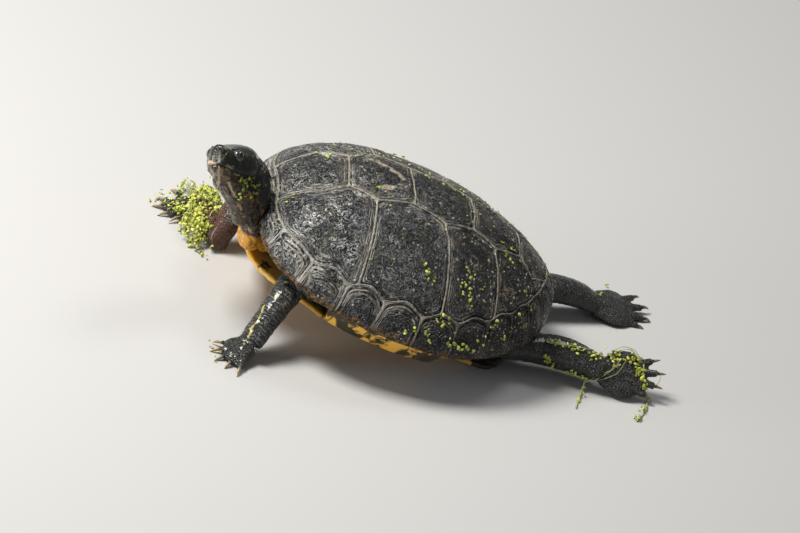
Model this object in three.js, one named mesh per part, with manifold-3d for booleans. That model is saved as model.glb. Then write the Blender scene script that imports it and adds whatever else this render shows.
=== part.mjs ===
// A life-size red-eared slider turtle at rest: propped on its forelegs, hind legs stretched
// out behind, neck raised and head turned to its left. Millimetres, +Z up.
// The head is towards -X, the turtle's left side towards -Y, and it rests on z = 0.
import * as THREE from "three";
import { mergeVertices } from "three/addons/utils/BufferGeometryUtils.js";
import Module from "manifold-3d";

const wasm = await Module();
wasm.setup();

// ---------- driving dimensions ----------
const GAP = 0.3; // between pieces that touch
const SHELL_FRONT = 108.8; // from the middle of the shell to its front
const SHELL_REAR = 110.3;
const SHELL_HALF_WIDTH = 87.6;
const SHELL_HEIGHT = 88.9; // top of the shell above the plastron's underside
const RIM_HEIGHT = 26.1; // shell's edge above the plastron's underside, at the sides
const RIM_RISE_FRONT = 3.8;
const RIM_RISE_REAR = 14;
const CREST_AT = -0.086; // where the back is highest, as a share of the half length
const NUCHAL_NOTCH = 6; // how far the front edge is scooped back over the neck
const NUCHAL_NOTCH_WIDTH = 24;
const NUCHAL_DROP = 9; // how much lower the shell is at that scoop
const PLATE_THICKNESS = 4;
const PLASTRON_THICKNESS = 3.6;
const BODY_PITCH = THREE.MathUtils.degToRad(10.4); // nose up
const BODY_LIFT = 15.3;
const ORIGIN_X = 28; // the part's origin is under the middle of its box
const ORIGIN_Y = -13.2;

const HEAD_LENGTH = 46.9;
const EYE_RADIUS = 4.2;
const CLAW_LENGTH = 8.5;
const CLAW_RADIUS = 1.5;
const WEB_THICKNESS = 2.4;

// ---------- finishes ----------
const finish = (color, roughness) => new THREE.MeshStandardMaterial({ color, roughness, metalness: 0 });
const SCUTE = finish(0x1d2124, 0.38);
const PLASTRON = finish(0xc98a2b, 0.4);
const SKIN = finish(0x1c1d1a, 0.42);
const EYE = finish(0x15130c, 0.08);
const CLAW = finish(0x6d5638, 0.45);

// ---------- solids and meshes ----------
const turtle = new THREE.Group();

function toSolid(geometry) {
  const bare = geometry.clone();
  bare.deleteAttribute("normal");
  bare.deleteAttribute("uv");
  const merged = mergeVertices(bare, 1e-4);
  return new wasm.Manifold(
    new wasm.Mesh({
      numProp: 3,
      vertProperties: merged.attributes.position.array,
      triVerts: new Uint32Array(merged.index.array),
    }),
  );
}

function toGeometry(solid) {
  const made = solid.getMesh();
  const geometry = new THREE.BufferGeometry();
  geometry.setAttribute("position", new THREE.BufferAttribute(new Float32Array(made.vertProperties), 3));
  geometry.setIndex(new THREE.BufferAttribute(new Uint32Array(made.triVerts), 1));
  return geometry;
}

function add(name, geometry, material) {
  const mesh = new THREE.Mesh(geometry, material);
  mesh.name = name;
  mesh.position.set(ORIGIN_X * -1, ORIGIN_Y * -1, 0);
  turtle.add(mesh);
}

// A closed skin over rings of points, each ring with the same count, capped at both ends.
function skinned(rings) {
  const count = rings[0].length;
  const points = rings.flat();
  const faces = [];
  for (let i = 0; i + 1 < rings.length; i++) {
    for (let j = 0; j < count; j++) {
      const a = i * count + j;
      const b = i * count + ((j + 1) % count);
      faces.push(a, b, b + count, a, b + count, a + count);
    }
  }
  for (const [ring, flip] of [[0, true], [rings.length - 1, false]]) {
    const middle = new THREE.Vector3();
    rings[ring].forEach((p) => middle.addScaledVector(p, 1 / count));
    const hub = points.push(middle) - 1;
    for (let j = 0; j < count; j++) {
      const a = ring * count + j;
      const b = ring * count + ((j + 1) % count);
      faces.push(...(flip ? [b, a, hub] : [a, b, hub]));
    }
  }
  const geometry = new THREE.BufferGeometry().setFromPoints(points);
  geometry.setIndex(faces);
  return geometry;
}

// The same skin, turned the right way out whichever way its rings run.
function solidOfRings(rings) {
  const solid = toSolid(skinned(rings));
  return solid.volume() > 0 ? solid : toSolid(skinned(rings.map((ring) => [...ring].reverse())));
}

const floorBlock = toSolid(new THREE.BoxGeometry(900, 900, 200).translate(0, 0, -100));
const aboveFloor = (solid) => solid.subtract(floorBlock);

// From the shell's own frame to the frame of the floor.
const bodyPose = new THREE.Matrix4().makeRotationY(BODY_PITCH).setPosition(0, 0, BODY_LIFT);
const placed = (x, y, z) => new THREE.Vector3(x, y, z).applyMatrix4(bodyPose);

// A round-cornered section: power 1 is an ellipse, less is squarer.
function sectionPoint(angle, power) {
  const round = (v) => Math.sign(v) * Math.abs(v) ** power;
  return [round(Math.cos(angle)), round(Math.sin(angle))];
}

// A limb: stations { at: [x, y, z], wide, deep } joined by one smooth curve.
// piece(from, to) is the closed length between two shares of the curve.
function limb(stations, { up = [0, 0, 1], sides = 12, power = 0.9 } = {}) {
  const smooth = (points) => new THREE.CatmullRomCurve3(points, false, "centripetal");
  const path = smooth(stations.map((s) => new THREE.Vector3(...s.at)));
  const girth = smooth(stations.map((s, i) => new THREE.Vector3(s.wide, s.deep, i)));
  const last = stations.length - 1;
  const upward = new THREE.Vector3(...up);
  function ring(t, grow) {
    const centre = path.getPoint(t);
    const along = path.getTangent(t);
    const across = new THREE.Vector3().crossVectors(along, upward).normalize();
    const above = new THREE.Vector3().crossVectors(across, along).normalize();
    const size = girth.getPoint(t);
    const points = [];
    for (let i = 0; i < sides; i++) {
      const [c, s] = sectionPoint((i * 2 * Math.PI) / sides, power);
      points.push(
        centre
          .clone()
          .addScaledVector(across, c * (size.x + grow))
          .addScaledVector(above, s * (size.y + grow)),
      );
    }
    return points;
  }
  function piece(from, to, steps, grow = 0) {
    const rings = [];
    for (let i = 0; i <= steps; i++) {
      rings.push(ring((from + ((to - from) * i) / steps) / last, grow));
    }
    return solidOfRings(rings);
  }
  return { piece, last };
}

// ---------- the shell's form ----------
const clamp01 = (v) => Math.min(1, Math.max(0, v));
const share = (x) => (x < 0 ? x / SHELL_FRONT : x / SHELL_REAR);

function halfWidth(x) {
  const s = Math.abs(share(x));
  const [length, width] = x < 0 ? [2.811, 2.135] : [2, 1.8];
  return SHELL_HALF_WIDTH * Math.max(0, 1 - s ** length) ** (1 / width);
}

function rimHeight(x) {
  const s = share(x);
  return RIM_HEIGHT + RIM_RISE_FRONT * Math.max(0, -s) ** 3 + RIM_RISE_REAR * Math.max(0, s) ** 3;
}

function domeHeight(x, y) {
  const s = share(x);
  const rim = rimHeight(x);
  const ahead = s < CREST_AT;
  const run = Math.abs(s - CREST_AT) / (ahead ? 1 + CREST_AT : 1 - CREST_AT);
  const fall = ahead ? 1.747 : 2.617;
  const crest = rim + (SHELL_HEIGHT - rim) * Math.max(0, 1 - run ** 2.132) ** (1 / fall);
  const out = clamp01(Math.abs(y) / Math.max(halfWidth(x), 1e-3));
  const scoop = NUCHAL_DROP * Math.exp(-((y / NUCHAL_NOTCH_WIDTH) ** 2)) * clamp01((-x - 78) / 25) ** 1.5;
  return rim + (crest - rim) * (1 - out ** 2.071) ** (1 / 1.5) - scoop;
}

// The shell's edge seen from above. turn runs from 0 at the front to PI at the back.
function rimPlan(turn, side) {
  const c = Math.cos(turn);
  const [length, width, reach] = c > 0 ? [2.811, 2.135, -SHELL_FRONT] : [2, 1.8, SHELL_REAR];
  const y = SHELL_HALF_WIDTH * Math.sin(turn) ** (2 / width);
  const notch = c > 0 ? NUCHAL_NOTCH * Math.exp(-((y / NUCHAL_NOTCH_WIDTH) ** 2)) : 0;
  return [reach * Math.abs(c) ** (2 / length) + notch, side * Math.max(y, GAP / 2)];
}

// A point in from the edge by the given distance, seen from above.
function insetPlan(turn, side, distance) {
  const step = 0.01;
  const [x, y] = rimPlan(turn, side);
  const [xa, ya] = rimPlan(Math.max(turn - step, 0), side);
  const [xb, yb] = rimPlan(Math.min(turn + step, Math.PI), side);
  const length = Math.hypot(xb - xa, yb - ya);
  const inY = side * y - (distance * (xb - xa)) / length;
  return [x + (side * distance * (yb - ya)) / length, side * Math.max(inY, GAP / 2)];
}

// The marginal plates are narrow in front, broader at the sides and broadest behind.
function marginalWidth(turn) {
  const c = Math.cos(turn);
  return 8.5 * Math.sin(turn) ** 2 + (c > 0 ? 6 : 15) * c * c;
}

const onDome = ([x, y]) => new THREE.Vector3(x, y, domeHeight(x, y));

// The point under p on the plates' inner face.
function inward(p, depth) {
  const core = new THREE.Vector3(0.8 * p.x, 0, 18);
  return p.clone().addScaledVector(core.sub(p).normalize(), depth);
}

const toFloor = (p) => p.applyMatrix4(bodyPose);

// ---------- plates of the carapace ----------
// A point at a share of a line of corners, with each stretch given an equal share.
function alongCorners(corners, t) {
  const last = corners.length - 1;
  const i = Math.min(Math.floor(t * last), last - 1);
  const f = t * last - i;
  return corners[i].map((v, k) => v + (corners[i + 1][k] - v) * f);
}

// A plate between an inner and an outer line, drawn from above and laid on the dome.
// bow(u) is how far the middle of the plate lies behind its sides there.
function plate(inner, outer, rows, columns, bow = () => 0) {
  const at = (u, v) => {
    const a = inner(u);
    const b = outer(u);
    return [a[0] + (b[0] - a[0]) * v + bow(u) * 4 * v * (1 - v), a[1] + (b[1] - a[1]) * v];
  };
  const span = (p, q) => onDome(p).distanceTo(onDome(q));
  const edgeU = GAP / 2 / span(at(0, 0.5), at(1, 0.5));
  const edgeV = GAP / 2 / span(at(0.5, 0), at(0.5, 1));
  const loops = [];
  const grid = (u, v) => onDome(at(edgeU + u * (1 - 2 * edgeU), edgeV + v * (1 - 2 * edgeV)));
  for (let i = 0; i <= rows; i++) {
    const over = [];
    for (let j = 0; j <= columns; j++) {
      over.push(grid(i / rows, j / columns));
    }
    const under = over.map((p) => inward(p, PLATE_THICKNESS)).reverse();
    loops.push([...over, ...under].map(toFloor));
  }
  return solidOfPlate(loops, columns);
}

// Rings whose ends are closed by strips between the outer and inner faces, not by fans.
function solidOfPlate(loops, columns) {
  const count = loops[0].length;
  const faces = [];
  for (let i = 0; i + 1 < loops.length; i++) {
    for (let j = 0; j < count; j++) {
      const a = i * count + j;
      const b = i * count + ((j + 1) % count);
      faces.push(a, b, b + count, a, b + count, a + count);
    }
  }
  const end = (loops.length - 1) * count;
  for (let j = 0; j < columns; j++) {
    const under = count - 1 - j;
    faces.push(j, under, j + 1, j + 1, under, under - 1);
    faces.push(end + j, end + j + 1, end + under, end + j + 1, end + under - 1, end + under);
  }
  const geometry = new THREE.BufferGeometry().setFromPoints(loops.flat());
  geometry.setIndex(faces);
  const solid = toSolid(geometry);
  if (solid.volume() > 0) return solid;
  for (let i = 0; i < faces.length; i += 3) [faces[i], faces[i + 1]] = [faces[i + 1], faces[i]];
  geometry.setIndex(faces);
  return toSolid(geometry);
}

// Where the seams between costals reach the marginals, as turns around the edge.
const turnAtX = (x) => {
  const reach = x < 0 ? (-x / SHELL_FRONT) ** (2.811 / 2) : -x / SHELL_REAR;
  return Math.acos(reach);
};
const seamPlan = (turn, side) => insetPlan(turn, side, marginalWidth(turn));
const COSTAL_ENDS = [0.2, turnAtX(-40), turnAtX(24), turnAtX(66), turnAtX(108)];
// Corners along one side of the row of vertebral plates: the seam between two
// vertebrals, then the point where two costals meet it, and so on to the back.
const CORNERS = [
  seamPlan(COSTAL_ENDS[0], 1),
  [-77, 22.5],
  [-59.6, 17],
  [-40.7, 26.5],
  [-16.3, 20],
  [8.5, 24.5],
  [29.7, 17],
  [48.1, 21.5],
  [68, 13],
  [81, 21],
  seamPlan(COSTAL_ENDS[4], 1),
];
const frontBow = seamPlan(0, 1)[0] - CORNERS[0][0];
const rearBow = seamPlan(Math.PI, 1)[0] - CORNERS[10][0];

for (let i = 0; i < 5; i++) {
  const corners = CORNERS.slice(2 * i, 2 * i + 3);
  const line = (side) => (u) => {
    const [x, y] = alongCorners(corners, u);
    return [x, side * y];
  };
  const bow = (u) => (i === 0 ? frontBow * (1 - u) : i === 4 ? rearBow * u : 0);
  add(`vertebral_${i + 1}`, toGeometry(plate(line(-1), line(1), 4, 4, bow)), SCUTE);
}

for (const [sideName, side] of [["left", -1], ["right", 1]]) {
  for (let i = 0; i < 4; i++) {
    const corners = CORNERS.slice(i === 0 ? 0 : 2 * i + 1, i === 3 ? 11 : 2 * i + 4);
    const inner = (u) => {
      const [x, y] = alongCorners(corners, u);
      return [x, side * y];
    };
    const outer = (u) => seamPlan(COSTAL_ENDS[i] + (COSTAL_ENDS[i + 1] - COSTAL_ENDS[i]) * u, side);
    const rows = 2 * (corners.length - 1);
    add(`costal_${sideName}_${i + 1}`, toGeometry(plate(inner, outer, rows, 6)), SCUTE);
  }
}

// ---------- the edge of the carapace ----------
const NUCHAL_END = 0.09; // turn where the small plate over the neck stops

// One section through a plate of the edge: seam, face, edge, underside, inner wall.
function edgeSection(turn, side, grow = 0) {
  const width = marginalWidth(turn) - GAP;
  const top = onDome(insetPlan(turn, side, width));
  const face = onDome(insetPlan(turn, side, width * 0.45));
  const edge = onDome(rimPlan(turn, side));
  const under = new THREE.Vector3(...insetPlan(turn, side, 2.2), edge.z - 3.4);
  const root = new THREE.Vector3(...insetPlan(turn, side, width), edge.z - 4.2);
  edge.z -= 0.8;
  const section = [top, face, edge, under, root, inward(top, PLATE_THICKNESS)];
  const middle = new THREE.Vector3();
  section.forEach((p) => middle.addScaledVector(p, 1 / 6));
  return section.map((p) => toFloor(p.addScaledVector(p.clone().sub(middle).normalize(), grow)));
}

function edgeStrip(from, to, side, steps, grow = 0) {
  const rings = [];
  for (let i = 0; i <= steps; i++) {
    rings.push(edgeSection(from + ((to - from) * i) / steps, side, grow));
  }
  return rings;
}

const nuchal = [...edgeStrip(0.001, NUCHAL_END, -1, 3).reverse(), ...edgeStrip(0.001, NUCHAL_END, 1, 3)];
add("nuchal", toGeometry(solidOfRings(nuchal)), SCUTE);
for (const [sideName, side] of [["left", -1], ["right", 1]]) {
  const strip = edgeStrip(NUCHAL_END + 0.004, Math.PI - 0.003, side, 28);
  add(`marginals_${sideName}`, toGeometry(solidOfRings(strip)), SCUTE);
}

// ---------- plastron and bridges ----------
const BRIDGE_FRONT = -44;
const BRIDGE_BACK = 40;
const BRIDGE_INNER = 58;
const outline = [
  [-97, 8],
  [-95, 20],
  [-86, 34],
  [-70, 44],
  [BRIDGE_FRONT - 6, 52],
  [BRIDGE_FRONT + 4, BRIDGE_INNER],
  [BRIDGE_BACK - 6, BRIDGE_INNER],
  [BRIDGE_BACK + 8, 46],
  [62, 39],
  [84, 36],
  [97, 20],
  [99, 9],
  [94, 0],
];
const plastronLine = new THREE.CatmullRomCurve3(
  [
    ...outline.map(([x, y]) => new THREE.Vector3(x, y, 0)),
    ...outline.slice(0, -1).reverse().map(([x, y]) => new THREE.Vector3(x, -y, 0)),
  ],
  true,
  "centripetal",
);
const plastronRim = plastronLine.getPoints(50).slice(0, -1);
const plastronBlank = new THREE.ExtrudeGeometry(
  new THREE.Shape(plastronRim.map((p) => new THREE.Vector2(p.x, p.y))),
  { depth: PLASTRON_THICKNESS, bevelEnabled: false },
);
const bridgeLimit = new THREE.BoxGeometry(400, 2 * BRIDGE_INNER, 60).applyMatrix4(bodyPose);
const plastron = toSolid(plastronBlank.applyMatrix4(bodyPose)).intersect(toSolid(bridgeLimit));
add("plastron", toGeometry(aboveFloor(plastron)), PLASTRON);

for (const [sideName, side] of [["left", -1], ["right", 1]]) {
  const rings = [];
  for (let i = 0; i <= 6; i++) {
    const u = i / 6;
    const x = BRIDGE_FRONT + 6 + (BRIDGE_BACK - BRIDGE_FRONT - 14) * u;
    const flare = 9 * (2 * u - 1) ** 3; // its ends sweep out along the edge of the shell
    const edge = halfWidth(x + flare);
    const top = rimHeight(x + flare) - 5.2;
    const section = [
      [x, BRIDGE_INNER + GAP, 0.2],
      [x + 0.5 * flare, edge - 14, 7],
      [x + flare, edge - 5.5, top],
      [x + flare, edge - 10.5, top],
      [x + 0.5 * flare, edge - 19, 11],
      [x, BRIDGE_INNER + GAP, PLASTRON_THICKNESS],
    ];
    rings.push(section.map(([a, b, c]) => placed(a, side * b, c)));
  }
  add(`bridge_${sideName}`, toGeometry(solidOfRings(rings)), PLASTRON);
}

// ---------- legs ----------
const claws = [];

// A foot: a palm that widens from the ankle and thins into the web, and toes that fan out
// in it. toes are [angle from forward, reach of the claw's tip] pairs, the first toe first.
// web is [reach, half width] of the web's free edge.
function foot(name, { ankle, forward, up, palm, wide, thick, web, toeRadius, clawLength, toes, droop }) {
  const heading = new THREE.Vector3(...forward).normalize();
  const above = new THREE.Vector3(...up);
  above.addScaledVector(heading, -above.dot(heading)).normalize();
  const base = new THREE.Vector3(...ankle);
  const point = (reach, angle, lift) =>
    base
      .clone()
      .addScaledVector(heading.clone().applyAxisAngle(above, angle), reach)
      .addScaledVector(above, lift);
  const span = (reach, lift) => point(reach, 0, lift).toArray();
  const body = limb(
    [
      { at: span(0, 0), wide: wide * 0.62, deep: thick * 1.45 },
      { at: span(palm * 0.45, -droop * 0.4), wide: wide * 0.8, deep: thick * 1.25 },
      { at: span(palm * 0.95, -droop * 0.8), wide, deep: thick },
      { at: span((palm + web[0]) / 2, -droop - 0.2 * thick), wide: (wide + web[1]) / 2, deep: thick * 0.6 },
      { at: span(web[0], -droop - 0.3 * thick), wide: web[1], deep: WEB_THICKNESS / 2 },
    ],
    { up, sides: 10 },
  );
  let solid = body.piece(0, 4, 5);
  toes.forEach(([degrees, reach], i) => {
    const angle = THREE.MathUtils.degToRad(degrees);
    const toeEnd = reach - clawLength;
    const low = -droop - 0.3 * thick;
    const at = (out, turn, lift) => point(out, turn, lift).toArray();
    const toeRoot = palm * 0.55;
    const toe = limb(
      [
        { at: at(toeRoot, angle * 0.85, -droop * 0.7), wide: toeRadius * 1.1, deep: toeRadius },
        { at: at((toeRoot + toeEnd) / 2, angle * 0.95, low * 0.9), wide: toeRadius * 1.1, deep: toeRadius },
        { at: at(toeEnd, angle, low), wide: toeRadius * 0.8, deep: toeRadius * 0.75 },
      ],
      { up, sides: 7 },
    );
    solid = solid.add(toe.piece(0, 2, 2));
    const claw = limb(
      [
        { at: at(toeEnd + GAP, angle, low), wide: CLAW_RADIUS, deep: CLAW_RADIUS },
        { at: at(reach - clawLength / 2, angle, low + 0.3), wide: CLAW_RADIUS * 0.7, deep: CLAW_RADIUS * 0.8 },
        { at: at(reach, angle, low - 1), wide: 0.3, deep: 0.3 },
      ],
      { up, sides: 6 },
    );
    claws.push([`${name}_claw_${i + 1}`, claw.piece(0, 2, 2)]);
  });
  return solid;
}

// Palm and shank meet in a flat cut at the ankle, the cut's width apart.
const roots = [];
function leg(name, parts, stations, cuts, tip, options) {
  const shape = limb(stations, options);
  roots.push(shape.piece(0, cuts[0], 6, GAP));
  parts.forEach((part, i) => {
    const from = i === 0 ? 0 : cuts[i - 1] + 0.012;
    add(`${part}_${name}`, toGeometry(aboveFloor(shape.piece(from, cuts[i], i === 0 ? 6 : 4))), SKIN);
  });
  const before = new THREE.Vector3(...stations.at(-2).at);
  const ankle = new THREE.Vector3(...stations.at(-1).at);
  const along = ankle.clone().sub(before).normalize();
  const cap = toSolid(
    new THREE.CylinderGeometry(30, 30, 60, 12)
      .rotateX(Math.PI / 2)
      .translate(0, 0, -30)
      .applyMatrix4(new THREE.Matrix4().lookAt(along, new THREE.Vector3(), new THREE.Vector3(0, 1, 0)))
      .translate(...ankle.clone().addScaledVector(along, GAP).toArray()),
  );
  const footName = `${tip.part}_${name}`;
  const solid = foot(footName, tip).subtract(cap);
  add(footName, toGeometry(aboveFloor(solid)), SKIN);
}

leg(
  "left",
  ["upper_arm", "forearm"],
  [
    { at: [-50, -27, 43], wide: 10, deep: 8.5 },
    { at: [-60, -44, 42], wide: 10, deep: 8.5 },
    { at: [-69, -61, 37], wide: 9.5, deep: 8.5 },
    { at: [-79, -77, 23], wide: 8.6, deep: 8 },
    { at: [-86, -88, 11.5], wide: 8, deep: 7 },
  ],
  [2.2, 4],
  {
    part: "forefoot",
    ankle: [-86, -88, 9],
    forward: [-0.85, -0.53, -0.2],
    up: [0, 0, 1],
    palm: 11,
    wide: 12,
    thick: 4.4,
    droop: 2,
    toeRadius: 3,
    clawLength: CLAW_LENGTH,
    web: [13.5, 9],
    toes: [[-42, 25], [-20, 27], [1, 28], [21, 28], [42, 29]],
  },
);

leg(
  "right",
  ["upper_arm", "forearm"],
  [
    { at: [-54, 32, 44], wide: 9.5, deep: 8.5 },
    { at: [-78, 45, 43], wide: 9.5, deep: 8.5 },
    { at: [-96, 43, 29], wide: 9, deep: 8.5 },
    { at: [-102, 31, 9], wide: 9, deep: 9 },
    { at: [-109, 47, 8.2], wide: 8, deep: 7.5 },
    { at: [-116, 61, 7.4], wide: 7.5, deep: 6.5 },
  ],
  [2.4, 5],
  {
    part: "forefoot",
    ankle: [-116, 61, 6.6],
    forward: [-0.98, 0.22, -0.1],
    up: [0, 0, 1],
    palm: 12,
    wide: 12.5,
    thick: 4.2,
    droop: 1.5,
    toeRadius: 2.9,
    clawLength: CLAW_LENGTH,
    web: [17, 13],
    toes: [[50, 25], [31, 29], [12, 32], [-10, 31], [-44, 31]],
  },
  { up: [-1, -1, 1] },
);

leg(
  "left",
  ["thigh", "shank"],
  [
    { at: [74, -31, 21], wide: 11, deep: 9 },
    { at: [94, -25, 18], wide: 11, deep: 9 },
    { at: [112, -20, 17], wide: 10.5, deep: 9.5 },
    { at: [132, -18.5, 17], wide: 11.5, deep: 10.5 },
    { at: [148, -19.5, 15], wide: 10.5, deep: 9 },
    { at: [160, -21, 13.5], wide: 9.5, deep: 7.5 },
  ],
  [3.2, 5],
  {
    part: "hindfoot",
    ankle: [160, -21, 13.5],
    forward: [1, 0.03, 0.02],
    up: [0, -0.72, 0.7],
    palm: 17,
    wide: 17,
    thick: 4.2,
    web: [30, 10.5],
    droop: 0,
    toeRadius: 2.9,
    clawLength: 6.5,
    toes: [[21, 42], [8, 45], [-5, 44], [-18, 40]],
  },
);

leg(
  "right",
  ["thigh", "shank"],
  [
    { at: [76, 34, 21], wide: 10.5, deep: 9 },
    { at: [96, 43, 19.5], wide: 10.5, deep: 9 },
    { at: [114, 50, 19], wide: 10, deep: 9 },
    { at: [130, 55, 18], wide: 10, deep: 9 },
    { at: [147, 60, 14.5], wide: 9, deep: 8 },
    { at: [160, 63.5, 8.6], wide: 8.5, deep: 6.5 },
  ],
  [3.2, 5],
  {
    part: "hindfoot",
    ankle: [160, 63.5, 8.6],
    forward: [0.97, 0.24, -0.09],
    up: [0, -0.26, 0.97],
    palm: 17,
    wide: 15.5,
    thick: 4.8,
    web: [31, 11],
    droop: 1.2,
    toeRadius: 2.8,
    clawLength: 6.5,
    toes: [[22, 43], [9, 46], [-5, 45], [-19, 41]],
  },
);

for (const [name, solid] of claws) {
  add(name, toGeometry(aboveFloor(solid)), CLAW);
}

// ---------- tail ----------
const tail = limb(
  [
    { at: [92, 4, 14], wide: 8, deep: 7 },
    { at: [106, 4, 10.5], wide: 7, deep: 6.5 },
    { at: [122, 5, 6.5], wide: 5, deep: 5 },
    { at: [138, 9, 2.8], wide: 3, deep: 3 },
    { at: [148, 13, 1.8], wide: 1.3, deep: 1.3 },
  ],
  { sides: 10 },
);
roots.push(tail.piece(0, 3, 6, GAP));
add("tail", toGeometry(aboveFloor(tail.piece(0, 4, 8))), SKIN);

// ---------- head ----------
const HEAD_BASE = [-115.8, -10, 93.4];
const HEAD_TURN = THREE.MathUtils.degToRad(52.2); // to the turtle's left
const HEAD_RAISE = THREE.MathUtils.degToRad(28.8);
const HEAD_LEAN = THREE.MathUtils.degToRad(28); // to its right
const forward = new THREE.Vector3(
  -Math.cos(HEAD_TURN) * Math.cos(HEAD_RAISE),
  -Math.sin(HEAD_TURN) * Math.cos(HEAD_RAISE),
  Math.sin(HEAD_RAISE),
);
const crown = new THREE.Vector3(0, 0, 1)
  .addScaledVector(forward, -forward.z)
  .normalize()
  .applyAxisAngle(forward, HEAD_LEAN);
const leftward = new THREE.Vector3().crossVectors(crown, forward);
const headPose = new THREE.Matrix4().makeBasis(forward, leftward, crown).setPosition(...HEAD_BASE);

// Stations from the back of the head to the nose: reach, half width, crown, chin.
const HEAD_STATIONS = [
  [-5, 7, 5, -6],
  [0, 11.5, 9, -10],
  [8, 14.6, 11.5, -12.5],
  [16, 16.6, 12.4, -13.8],
  [24, 15.6, 12.2, -13.8],
  [31, 12.6, 11, -13.2],
  [37, 9.9, 9.5, -12.4],
  [42, 7.6, 7.9, -10.9],
  [45, 5.6, 6.1, -8.8],
  [HEAD_LENGTH, 3.2, 3.4, -5.8],
];

function headSolid(grow) {
  const rings = HEAD_STATIONS.map(([reach, half, top, chin], i) => {
    const ends = i === 0 ? -grow : i === HEAD_STATIONS.length - 1 ? grow : 0;
    const ring = [];
    for (let j = 0; j < 16; j++) {
      const [c, s] = sectionPoint((j * Math.PI) / 8, 0.84);
      const height = s > 0 ? top + grow : grow - chin;
      ring.push(new THREE.Vector3(reach + ends, c * (half + grow), s * height));
    }
    return ring;
  });
  return solidOfRings(rings);
}

const ball = (radius, x, y, z, across = 12, down = 7) =>
  toSolid(new THREE.SphereGeometry(radius, across, down).rotateX(Math.PI / 2).translate(x, y, z));

// The mouth's line from behind its corner to past the nose, and all that is below it.
function jawBlock(inset) {
  const line = [
    [20 + inset, -8.8 - inset],
    [25, -8.6 - inset],
    [32, -8.1 - inset],
    [39, -6.9 - inset],
    [44, -5.6 - inset],
    [52, -5.3 - inset],
    [52, -22],
    [19 + inset, -22],
  ];
  const shape = new THREE.Shape(line.map(([x, z]) => new THREE.Vector2(x, z)));
  const block = new THREE.ExtrudeGeometry(shape, { depth: 40, bevelEnabled: false });
  return toSolid(block.rotateX(Math.PI / 2).translate(0, 20, 0));
}

const eyeball = (radius, side) => ball(radius, 33, side * 8.4, 3.9);
let skull = headSolid(0);
for (const side of [-1, 1]) {
  const brow = new THREE.SphereGeometry(1, 10, 7).scale(7.5, 4.4, 5).translate(31, side * 6.6, 4.2);
  skull = skull.add(toSolid(brow)).subtract(eyeball(EYE_RADIUS + GAP, side));
}
const onBody = (solid) => toSolid(toGeometry(solid).applyMatrix4(headPose));
add("lower_jaw", toGeometry(onBody(skull.intersect(jawBlock(GAP)))), SKIN);
add("head", toGeometry(onBody(skull.subtract(jawBlock(0)))), SKIN);
for (const [sideName, side] of [["left", 1], ["right", -1]]) {
  add(`eye_${sideName}`, toGeometry(onBody(eyeball(EYE_RADIUS, side))), EYE);
}

// ---------- neck ----------
const besideHead = (x, y, z) => new THREE.Vector3(x, y, z).applyMatrix4(headPose).toArray();
const neck = limb(
  [
    { at: placed(-84, -9, 16).toArray(), wide: 14, deep: 8.5 },
    { at: placed(-97, -12, 18.5).toArray(), wide: 13.5, deep: 8.5 },
    { at: placed(-107, -15, 28).toArray(), wide: 13.5, deep: 9 },
    { at: placed(-113.5, -15.5, 41).toArray(), wide: 14, deep: 12 },
    { at: placed(-119, -13, 50).toArray(), wide: 15, deep: 14 },
    { at: besideHead(3, 0, -1), wide: 12.5, deep: 11.5 },
  ],
  { up: [1, 0, 0.2], sides: 14 },
);
roots.push(neck.piece(0, 1.6, 4, GAP));
// The loose skin at the root of the neck bags forward over the plastron's lip.
const bag = new THREE.SphereGeometry(1, 10, 7).scale(10, 14, 8).translate(-100, -13, 12);
let neckSolid = neck.piece(0, 5, 9).add(toSolid(bag.applyMatrix4(bodyPose)));
// The throat hangs under the lower jaw and runs back into the neck.
const throat = limb(
  [
    { at: besideHead(30, 0, -12.5), wide: 9.5, deep: 5.5 },
    { at: besideHead(22, 0, -15.5), wide: 11.5, deep: 7.5 },
    { at: besideHead(12, 0, -20), wide: 12.5, deep: 9.5 },
    { at: besideHead(2, 0, -26), wide: 12.5, deep: 11 },
    { at: besideHead(-7, 0, -34), wide: 11, deep: 10 },
  ],
  { up: crown.toArray(), sides: 10 },
);
neckSolid = neckSolid.add(throat.piece(0, 4, 4)).subtract(onBody(headSolid(GAP)));
for (const side of [-1, 1]) {
  neckSolid = neckSolid.subtract(solidOfRings(edgeStrip(0.001, 0.5, side, 5, 0.7)));
}
add("neck", toGeometry(neckSolid), SKIN);

// ---------- trunk ----------
const trunkRings = [];
for (let i = 0; i <= 8; i++) {
  const x = -87 + (174 * i) / 8;
  const half = halfWidth(1.12 * x) - 14;
  const floorHalf = Math.min(half - 3, 50);
  const ring = [];
  for (let j = 0; j <= 10; j++) {
    const y = half * Math.cos((Math.PI * j) / 10);
    ring.push(inward(onDome([x, y]), PLATE_THICKNESS + 1.6));
  }
  for (let j = 0; j <= 4; j++) {
    ring.push(new THREE.Vector3(0.8 * x, floorHalf * (j / 2 - 1), PLASTRON_THICKNESS + 1));
  }
  trunkRings.push(ring.map(toFloor));
}
let trunk = solidOfRings(trunkRings);
for (const root of roots) {
  trunk = trunk.subtract(root);
}
add("trunk", toGeometry(trunk), SKIN);

export default turtle;
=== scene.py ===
# %% [markdown]
# # A red-eared slider turtle
#
# The turtle rests with its rear on the ground, its chest propped on the forelegs and its
# hind legs stretched out behind. A frame of plain solids, at the real size, comes first.
# Each part of the animal is then modelled finely in the same place, so nothing has to be
# fitted afterwards.

import math
import bpy
import numpy as np
from mathutils import Matrix, Vector
from mathutils.kdtree import KDTree


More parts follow.
